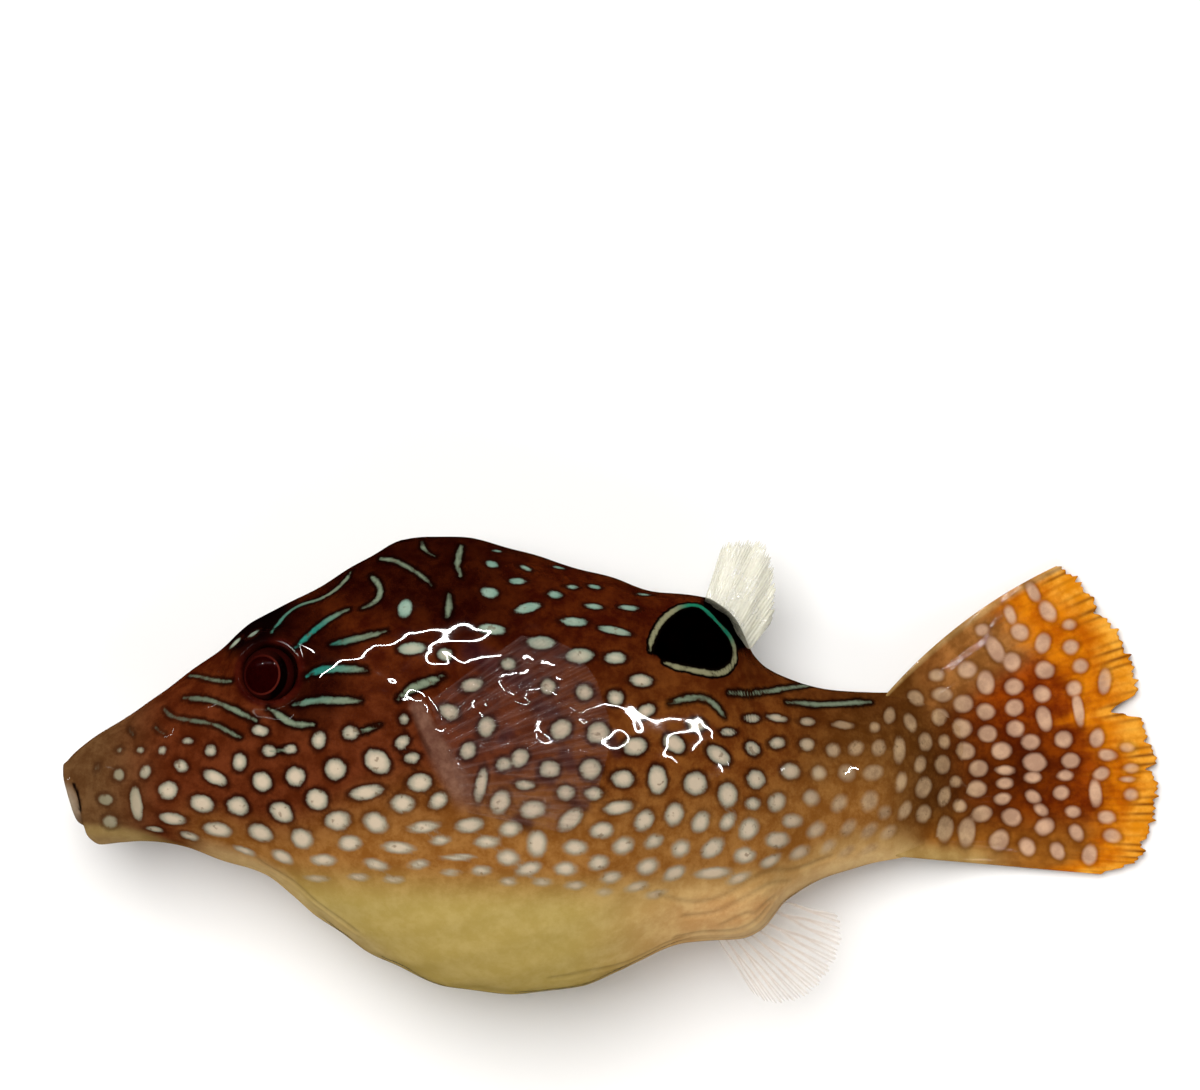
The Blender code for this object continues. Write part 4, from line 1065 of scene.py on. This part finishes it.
# %% Eyes
EYE_SECTION = (
    (0.0, 0.88), (0.45, 0.85), (0.80, 0.76), (0.93, 0.70), (1.0, 0.75), (1.08, 0.69),
    (1.22, 0.55), (1.36, 0.36), (1.46, 0.14), (1.5, -0.05), (1.38, -0.45), (0.9, -0.8),
    (0.0, -0.95),
)
CORNEA_SECTION = (
    (0.0, 1.04), (0.5, 1.0), (0.93, 0.87), (1.25, 0.62), (1.43, 0.36), (1.52, 0.1),
    (1.53, -0.05),
)
EYE_TURNS = 96
BALL_SHIFT = np.array((-0.16, -0.12, 0.0))
LOOK = np.array((-0.26, -0.10, 0.0))


def lathe(name, section, centre, axis, *nodes):
    """Turn a section, given as radius and height in mm, about an eye's axis."""
    bm = bmesh.new()
    points = [bm.verts.new((radius * MM, 0, height * MM)) for radius, height in section]
    for a, b in zip(points, points[1:]):
        bm.edges.new((a, b))
    bmesh.ops.subdivide_edges(bm, edges=bm.edges, cuts=3)
    for _ in range(2):
        inner = [vert for vert in bm.verts if len(vert.link_edges) == 2]
        bmesh.ops.smooth_vert(bm, verts=inner, factor=0.5, use_axis_x=True, use_axis_z=True)
    bmesh.ops.spin(
        bm, geom=list(bm.verts) + list(bm.edges), cent=(0, 0, 0), axis=(0, 0, 1),
        angle=2 * math.pi, steps=EYE_TURNS, use_merge=True,
    )
    bmesh.ops.remove_doubles(bm, verts=bm.verts, dist=1e-6)
    bmesh.ops.recalc_face_normals(bm, faces=bm.faces)
    up = Vector(axis)
    sideways = Vector((1, 0, 0)).cross(up).normalized()
    turned = Matrix((up.cross(sideways).normalized(), sideways, up)).transposed().to_4x4()
    place = Matrix.Translation(Vector(centre) * MM) @ turned
    bmesh.ops.transform(bm, matrix=place, verts=bm.verts)
    mesh = bpy.data.meshes.new(name)
    bm.to_mesh(mesh)
    bm.free()
    return stand(name, mesh, "eye", *nodes)


def look_axis(side):
    """Where the pupil looks: a little forward and down of the socket's axis."""
    _, axis = eye_frame(side)
    look = axis + LOOK
    return look / np.linalg.norm(look)


eyes = {}
for side, name in ((1, "eye_left"), (-1, "eye_right")):
    centre, axis = eye_frame(side)
    sunk = centre + BALL_SHIFT
    look = look_axis(side)
    ball = lathe(name + "_ball", EYE_SECTION, sunk, look, name)
    clear = lathe(name + "_cornea", CORNEA_SECTION, centre, axis)
    eyes[side] = (ball, clear)
    offset, _, radius = about_axis(points_of(ball.data) / MM, sunk, look)
    # how far each point lies towards the rear, the side of the painted shadow
    behind = offset @ np.array((1.0, -0.25, 0.0)) / np.maximum(radius, 0.1)
    keep(ball.data, {"radius": radius, "behind": behind})
print("eyes:", [piece.name for pair in eyes.values() for piece in pair])

# %% [markdown]
# The iris of a fresh fish is a dark red tissue with a thin brighter ring at the pupil.
# Beyond that ring a black crescent is painted on the eye's rear side: painted shadow where
# the iris lies deep under the lid. The cornea over it is clear and wet, so nearly all that
# it adds is its gloss.

# %% Material of the eyes
# radius where it starts and is full, tone
IRIS_RINGS_AND_SHADOW = (
    # the black ring is painted shadow: a crescent between the iris and the lid
    (0.93, 0.97, "#4a1710"), (1.04, 1.08, "#050101"), (1.30, 1.36, "#2a0705"),
)
iris, tree, shader = new_material("iris_pupil_and_painted_shadow_of_a_fish_eye")
place = add(tree, "TexCoord", out="Object")
fibre = add(tree, "TexNoise", {"Vector": place, "Scale": 4200.0, "Detail": 4.0})
eye_radius, behind = (
    add(tree, "Attribute", out="Fac", attribute_name=name) for name in ("radius", "behind")
)
tone = add(tree, "Mix", {0: fibre, 6: colour("#100000"), 7: colour("#240202")}, **RGBA)
# the rings, the painted shadow among them, show fully only on the eye's rear side
shown = add(tree, "MapRange", {0: behind, 1: -0.9, 2: 0.4, 3: 0.3, 4: 1.0})
for start, full, code in IRIS_RINGS_AND_SHADOW:
    amount = {0: eye_radius, 1: start, 2: full, 3: 0.0, 4: shown}
    amount = add(tree, "MapRange", amount, **SOFT)
    tone = add(tree, "Mix", {0: amount, 6: tone, 7: colour(code)}, **RGBA)
feed(tree, shader, {"Base Color": tone, "Roughness": 0.5, "Specular IOR Level": 0.0})

cornea, tree, shader = new_material("clear_cornea")
turned_away = add(tree, "LayerWeight", {"Blend": 0.35}, "Facing")
thick = add(tree, "MapRange", {0: turned_away, 1: 0.0, 2: 1.0, 3: 0.08, 4: 0.25})
feed(tree, shader, {
    "Base Color": colour("#000000"), "Roughness": 0.03, "IOR": 1.38, "Alpha": thick,
})
for ball, clear in eyes.values():
    ball.data.materials.append(iris)
    clear.data.materials.append(cornea)
print("eye finishes:", iris.name, cornea.name)

# %% [markdown]
# The fins. A fish's fin is a thin membrane held by rays that branch towards its edge.
# Each is made as a flat slab of squares in a made-up flat space, across its rays and out
# along them, and the slab is then bent to its place: so both faces, the rays' ridges and
# the ragged edge come from one short rule.

# %% A slab for a fin
def slab(across_cells, out_cells):
    """A closed flat slab: x runs across the rays, y out along them, z is the face."""
    bm = bmesh.new()
    bmesh.ops.create_grid(bm, x_segments=across_cells, y_segments=out_cells, size=0.5)
    bmesh.ops.translate(bm, verts=bm.verts, vec=(0.5, 0.5, -1.0))
    grown = bmesh.ops.extrude_face_region(bm, geom=list(bm.faces))
    lifted = [item for item in grown["geom"] if isinstance(item, bmesh.types.BMVert)]
    bmesh.ops.translate(bm, verts=lifted, vec=(0, 0, 2.0))
    bmesh.ops.recalc_face_normals(bm, faces=bm.faces)
    mesh = bpy.data.meshes.new("fin")
    bm.to_mesh(mesh)
    bm.free()
    at = points_of(mesh)
    return mesh, np.clip(at[:, 0], 0, 1), np.clip(at[:, 1], 0, 1), np.sign(at[:, 2])


def branching(across, out, rays):
    """How high a ray stands at each place, from 0 to 1: one ray, then two, then four."""
    phase = across * (rays - 1)
    gap = np.abs(phase - np.rint(phase))
    first = np.abs(gap - 0.24 * ease(out, 0.22, 0.6))
    second = np.abs(first - 0.11 * ease(out, 0.5, 0.95))
    width = 0.13 - 0.085 * out
    return np.exp(-((second / width) ** 2))


def fin_piece(name, mesh, places, marks, slot, node):
    """Bend a slab to its places, keep its marks and stand it for its solid."""
    mesh.vertices.foreach_set("co", (places * MM).ravel())
    keep(mesh, marks)
    bm = bmesh.new()
    bm.from_mesh(mesh)
    bmesh.ops.recalc_face_normals(bm, faces=bm.faces)
    bm.to_mesh(mesh)
    bm.free()
    return stand(name, mesh, slot, node)


# %% [markdown]
# The tail fin is spread and lies on the floor. Its eleven rays branch twice. It is torn
# a little between the lobes, as fresh specimens' fins are, and frayed at its edge.

# %% Tail fin
TAIL_RAYS = 11
TAIL_FAN = (
    (0.0, 4.3, 36.6, 11.1), (0.1, 3.4, 31.7, 12.0), (0.2, 2.5, 25.6, 12.75),
    (0.3, 1.6, 20.6, 13.35), (0.4, 0.75, 16.0, 13.6), (0.5, -0.15, 11.2, 13.6),
    (0.6, -1.05, 6.7, 14.1), (0.7, -1.9, 2.9, 14.1), (0.8, -2.8, -0.4, 13.8),
    (0.9, -3.7, -3.4, 13.4), (1.0, -4.55, -5.0, 11.2),
)
TAIL_BASE = 43.8
TAIL_START = -0.06
TAIL_BOW = 0.55
TAIL_HALF = 0.15
TAIL_THINS = 0.10
TAIL_RAY_RISE = 0.025
TAIL_WAVE = 0.10
SLIME_RUN = ((46.5, 4.9), (47.7, 5.9), (48.8, 6.6), (49.5, 7.9), (49.8, 8.7), (50.7, 9.8))
TAIL_TEARS = ((0.45, 1.5, 0.022), (0.17, 0.45, 0.012), (0.63, 0.4, 0.01), (0.86, 0.5, 0.012))

mesh, across, out_share, face = slab(300, 96)
ray = branching(across, out_share, TAIL_RAYS)
edge_ray = branching(across, 1.0, TAIL_RAYS)
reach = TAIL_START + (1 - TAIL_START) * out_share
fan_angle = np.radians(through(TAIL_FAN, across, 2))
length = through(TAIL_FAN, across, 3)
fray = np.sin(across * 71.0) + np.sin(across * 173.0 + 1.0) + np.sin(across * 331.0 + 2.0)
length = length - (1 - edge_ray) * 0.10 - 0.07 * fray
for tear_at, tear_depth, tear_width in TAIL_TEARS:
    length = length - tear_depth * bell(across - tear_at, tear_width)
bow = TAIL_BOW * (1 - across) ** 3 * 4 * reach * (1 - reach)
tail_along = TAIL_BASE + np.cos(fan_angle) * length * reach - np.sin(fan_angle) * bow
tail_up = through(TAIL_FAN, across) + np.sin(fan_angle) * length * reach
tail_up += np.cos(fan_angle) * bow
height = through(TAIL_FIN_HEIGHT, tail_along)
half = TAIL_HALF - TAIL_THINS * out_share**1.5
half += TAIL_RAY_RISE * ray * ease(out_share, 0.1, 0.5)
half = half * ease(across, -0.02, 0.015) * ease(across, 1.02, 0.985)
wave = TAIL_WAVE * np.sin(across * 26.0 + 3 * out_share) * out_share
places = spot_at(tail_along, tail_up, height + wave * 0.6)
places[:, 2] = np.maximum(places[:, 2] + face * half, 0.0)

flat_places = np.stack((tail_along, tail_up), axis=1)


def flat_spot_edge(points, spots):
    """Signed distance to the nearest spot on a flat fin, in read mm."""
    best = np.full(len(points), FAR)
    for along, up, length, width, slant in spots:
        turned = math.radians(slant)
        x, y = points[:, 0] - along, points[:, 1] - up
        lengthwise = x * math.cos(turned) + y * math.sin(turned)
        sideways = y * math.cos(turned) - x * math.sin(turned)
        gap = np.hypot(lengthwise * 2 / length, sideways * 2 / width) - 1
        best = np.minimum(best, gap * math.sqrt(length * width) / 2)
    return best


margin = length * (1 - reach)
fringe = ease(margin + 3.5 * wave, 1.9, 0.4)
tail_marks = {
    "spot": flat_spot_edge(flat_places, TAIL_SPOTS),
    "orange": ease(margin - 1.6 * ease(tail_up, 2.0, 7.0), 3.6, 1.6),
    "yellow": fringe,
    "streak": ray * (0.10 + 0.40 * fringe * (1 + np.sin(across * 43.0 + 1.0))),
    "edge": 0.7 * ease(across, 0.035, 0.012),
    "run": line_distance(flat_places, rounded(SLIME_RUN)),
    **tail_shares(tail_along, tail_up),
}
tail_fin = fin_piece("tail_fin", mesh, places, tail_marks, "tail_fin_membrane", "caudal_fin")
print("tail fin:", len(mesh.polygons), "faces, to", tail_along.max().round(1), "mm along")

# %% [markdown]
# The tail fin's colour: brown at its root like the body, darkest in the middle, rust
# farther out and bright orange at the edge, with dark lines along some rays and pale
# spots between them. It is duller than the skin but for one thick run of slime.

# %% Material of the tail fin
fin_paint, tree, shader = new_material("spotted_rust_fin_membrane")
place, mottle, cloud = mottled(tree, 0.6)
tone = add(tree, "Mix", {0: cloud, 6: colour("#4f2b0b"), 7: colour("#68411b")}, **RGBA)
tone = glazed(tree, tone, cloud, TAIL_GLAZES)
tone = glazed(tree, tone, cloud, (
    ("orange", "#ad5404", "#d0780c"), ("yellow", "#cf7d10", "#eba63a"),
    ("streak", "#5a2404", "#6b2f06"), ("edge", "#94713f", "#b8945f"),
))
kept, run = (
    add(tree, "Attribute", out="Fac", attribute_name=name) for name in ("spot", "run")
)
uneven = add(tree, "Math", {0: mottle, 1: 0.5}, operation="SUBTRACT")
spot = add(tree, "Math", {0: uneven, 1: 0.35, 2: kept}, operation="MULTIPLY_ADD")
rim = add(tree, "MapRange", {0: spot, 1: 0.30, 2: 0.05, 3: 0.0, 4: 0.35}, **SOFT)
tone = add(tree, "Mix", {0: rim, 6: tone, 7: colour("#2a0d03")}, **RGBA)
pale = add(tree, "Mix", {0: cloud, 6: colour("#8d7154"), 7: colour("#b39570")}, **RGBA)
pale = glazed(tree, pale, cloud, (
    ("rust", "#a8836a", "#c9a283"), ("yellow", "#c9935e", "#e0ab72"),
))
fill = add(tree, "MapRange", {0: spot, 1: 0.11, 2: -0.16, 3: 0.0, 4: 0.95}, **SOFT)
tone = add(tree, "Mix", {0: fill, 6: tone, 7: pale}, **RGBA)
ridge = add(tree, "Bump", {"Strength": 0.4, "Distance": 0.00008, "Height": mottle})
run = add(tree, "Math", {0: uneven, 1: 0.25, 2: run}, operation="MULTIPLY_ADD")
swell = add(tree, "MapRange", {0: run, 1: 0.36, 2: 0.0}, **SOFT)
swell = add(tree, "Bump", {"Strength": 1.0, "Distance": 0.00013, "Height": swell})
wet = add(tree, "MapRange", {0: run, 1: 0.45, 2: 0.25, 3: 0.2, 4: 1.0})
feed(tree, shader, WET_HIDE | {
    "Base Color": tone, "Normal": ridge, "Coat Normal": swell, "Coat Weight": wet,
    "Coat Roughness": 0.06,
})
tail_fin.data.materials.append(fin_paint)
print("tail fin material:", len(tree.nodes), "nodes")

# %% [markdown]
# The other fins are nearly clear. The back and anal fins stand on the outline, and the
# breast fins spread over the flanks, the lower one folded flat under the body.

# %% Back and anal fins
BACK_FIN_BASE = (34.0, 36.35)
BACK_FIN_ENDS = (
    (0.0, 34.9, 12.0), (0.25, 36.0, 12.15), (0.45, 36.95, 12.1), (0.6, 37.35, 11.5),
    (0.75, 37.6, 10.6), (0.9, 37.7, 9.2), (1.0, 37.55, 7.9),
)
ANAL_FIN_BASE = (34.6, 38.1)
ANAL_FIN_ENDS = (
    (0.0, 36.5, -11.9), (0.15, 37.6, -12.35), (0.35, 39.0, -12.1), (0.55, 40.1, -11.2),
    (0.75, 40.9, -9.9), (0.9, 41.2, -8.6), (1.0, 41.0, -7.6),
)
FIN_RAYS = 9
FIN_DROOP = 1.1
FIN_ROOTED = 0.5


def upright_fin(name, node, line, base, ends):
    """A clear fin on the outline of the back or the belly."""
    mesh, across, out_share, face = slab(140, 60)
    station = base[0] + (base[1] - base[0]) * across
    root = np.stack([through(line, station, column) for column in (1, 2)], axis=1)
    end = np.stack([through(ends, across, column) for column in (1, 2)], axis=1)
    ray = branching(across, out_share, FIN_RAYS)
    edge_ray = branching(across, 1.0, FIN_RAYS)
    way = end - root
    span = np.linalg.norm(way, axis=1)[:, None]
    start = root - way / span * FIN_ROOTED
    fray = 0.25 + 0.2 * np.sin(across * 57.0) + 0.12 * np.sin(across * 143.0)
    end = end - way / span * ((1 - edge_ray) * fray)[:, None]
    flat = start + (end - start) * out_share[:, None]
    droop = FIN_DROOP * out_share**1.5
    wave = 0.18 * np.sin(across * 17.0 + out_share * 5.0) * out_share
    level = through(MIDDLE_HEIGHT, station) - droop + wave
    half = 0.07 + 0.05 * ray * (1 - 0.6 * out_share) + 0.12 * (1 - out_share) ** 6
    places = spot_at(flat[:, 0], flat[:, 1], level)
    places[:, 2] += face * half
    return fin_piece(name, mesh, places, {"ray": ray}, "clear_fin_membrane", node)


back_fin = upright_fin("back_fin", "dorsal_fin", BACK_LINE, BACK_FIN_BASE, BACK_FIN_ENDS)
anal_fin = upright_fin("belly_fin", "anal_fin", BELLY_LINE, ANAL_FIN_BASE, ANAL_FIN_ENDS)
print("fins on the outline:", back_fin.name, anal_fin.name)

# %% Breast fins
BREAST_RAYS = 14
BREAST_LIFT = 0.25
BREAST_BASE = ((19.5, 3.7), (21.5, -2.0))
BREAST_ENDS_LEFT = (
    (0.0, 24.2, 6.9), (0.2, 26.4, 6.4), (0.4, 28.0, 4.6), (0.6, 28.7, 2.2),
    (0.8, 28.3, -0.4), (1.0, 26.6, -3.0),
)
BREAST_ENDS_RIGHT = (
    (0.0, 27.2, 3.9), (0.3, 28.2, 3.0), (0.6, 28.5, 1.6), (1.0, 27.9, -0.9),
)


def breast_fin(name, node, ends, side, spread_lift):
    """A clear fan over the flank, lying close on the wet skin."""
    mesh, across, out_share, face = slab(200, 80)
    top, low = np.array(BREAST_BASE)
    root = top + (low - top) * across[:, None]
    end = np.stack([through(ends, across, column) for column in (1, 2)], axis=1)
    ray = branching(across, out_share, BREAST_RAYS)
    flat = root + (end - root) * out_share[:, None]
    skin_at, _, _, normal = flank_frame(flat[:, 0], flat[:, 1], side, 0.2)
    crumple = np.sin(across * 24.0 + 5 * out_share) + np.sin(across * 41.0 - 9 * out_share)
    lift = BREAST_LIFT + spread_lift * ease(out_share, 0.0, 0.8)
    lift += 0.10 * crumple * ease(out_share, 0.05, 0.4)
    half = 0.05 + 0.04 * ray * (1 - 0.5 * out_share) + 0.08 * (1 - out_share) ** 6
    places = skin_at + normal * (lift + face * half)[:, None]
    places[:, 2] = np.maximum(places[:, 2], 0.02)
    return fin_piece(name, mesh, places, {"ray": ray}, "clear_fin_membrane", node)


breast_left = breast_fin("breast_fin_left", "pectoral_fin_left", BREAST_ENDS_LEFT, 1, 0.6)
breast_right = breast_fin("breast_fin_right", "pectoral_fin_right", BREAST_ENDS_RIGHT, -1, 0.0)
print("breast fins:", breast_left.name, breast_right.name)

# %% [markdown]
# Clear fin membrane: a wet, glassy film stiffened by rays. The rays are milky, the film
# between them lets most of the light through, so its alpha is low there. The back fin has
# dried a little and is milkier, and the belly fin's rays are rosy.

# %% Material of the clear fins
def clear_membrane(name, film, ray_tone, film_alpha, ray_alpha, gloss):
    """Film and rays in their own tones, each letting through its own share of light."""
    made, tree, shader = new_material(name)
    place = add(tree, "TexCoord", out="Object")
    mottle = add(tree, "TexNoise", {"Vector": place, "Scale": 1500.0, "Detail": 4.0})
    ray = add(tree, "Attribute", out="Fac", attribute_name="ray")
    tone = add(tree, "Mix", {0: ray, 6: colour(film), 7: colour(ray_tone)}, **RGBA)
    seen = add(tree, "MapRange", {0: ray, 1: 0.0, 2: 1.0, 3: film_alpha, 4: ray_alpha})
    uneven = add(tree, "MapRange", {0: mottle, 1: 0.3, 2: 0.7, 3: 0.75, 4: 1.2})
    seen = add(tree, "Math", {0: seen, 1: uneven}, operation="MULTIPLY", use_clamp=True)
    ripple = add(tree, "Bump", {"Strength": 0.5, "Distance": 0.0001, "Height": mottle})
    feed(tree, shader, {
        "Base Color": tone, "Alpha": seen, "Normal": ripple, "Roughness": 0.45,
        "Specular IOR Level": 0.2, "Coat Weight": gloss, "Coat Roughness": 0.06,
    })
    return made


milky = clear_membrane("milky_fin_membrane", "#e6e2c8", "#dcd7bc", 0.36, 0.44, 0.4)
rosy = clear_membrane("clear_fin_membrane_with_rosy_rays", "#f2eadc", "#cfae92", 0.07, 0.26, 0.4)
glassy = clear_membrane("glassy_breast_fin_membrane", "#6a4a44", "#80625a", 0.05, 0.10, 0.35)
back_fin.data.materials.append(milky)
anal_fin.data.materials.append(rosy)
breast_left.data.materials.append(glassy)
breast_right.data.materials.append(glassy)
print("clear fins finished")

# %% [markdown]
# The floor is a plain pale sheet, and the light is a broad soft window overhead with a
# weaker one in front. Two narrow strips draw the thin wet highlights: one along the head,
# one along the rear flank. Only the strips are seen in the wet film.

# %% Floor and light
bm = bmesh.new()
bmesh.ops.create_grid(bm, x_segments=1, y_segments=1, size=1.0)
floor_mesh = bpy.data.meshes.new("floor")
bm.to_mesh(floor_mesh)
bm.free()
floor = bpy.data.objects.new("floor", floor_mesh)
floor.location.z = -0.0001
bpy.context.scene.collection.objects.link(floor)
floor.visible_glossy = False
sheet, tree, shader = new_material("pale_matt_sheet")
feed(tree, shader, {"Base Color": colour("#f4f2ef"), "Roughness": 0.7})
floor_mesh.materials.append(sheet)


# name, place, width, length and the way it lies, in mm
STRIPS = (
    ("strip_ahead", (-160, 335, 400), 13, 580, (840, -120, 0)),
    ("strip_behind", (287, 150, 400), 6, 360, (840, -250, 0)),
)
STRIP_POWER = 0.0007


def lamp(name, place, width, length, power, way=(0, 1, 0)):
    """An area lamp at a place in mm that faces the fish, its length laid one way."""
    made = bpy.data.objects.new(name, bpy.data.lights.new(name, "AREA"))
    made.data.shape = "RECTANGLE"
    made.data.size = width * MM
    made.data.size_y = length * MM
    made.data.energy = power
    made.location = Vector(place) * MM
    back = Vector(place).normalized()
    side = Vector(way).cross(back).normalized()
    turned = Matrix((side, back.cross(side), back)).transposed()
    made.rotation_euler = turned.to_euler()
    bpy.context.scene.collection.objects.link(made)
    return made


window = lamp("window", (-120, 220, 520), 500, 500, 4.4)
fill = lamp("fill", (60, -420, 300), 400, 300, 1.1)
for soft in (window, fill):
    soft.visible_glossy = False
for name, place, width, length, way in STRIPS:
    strip = lamp(name, place, width, length, STRIP_POWER * width * length, way)
    strip.visible_diffuse = False
world = bpy.data.worlds.new("room")
world.use_nodes = True
air = {"Color": colour("#f2f5f8"), "Strength": 0.14}
feed(world.node_tree, world.node_tree.nodes["Background"], air)
world.cycles_visibility.glossy = False
bpy.context.scene.world = world
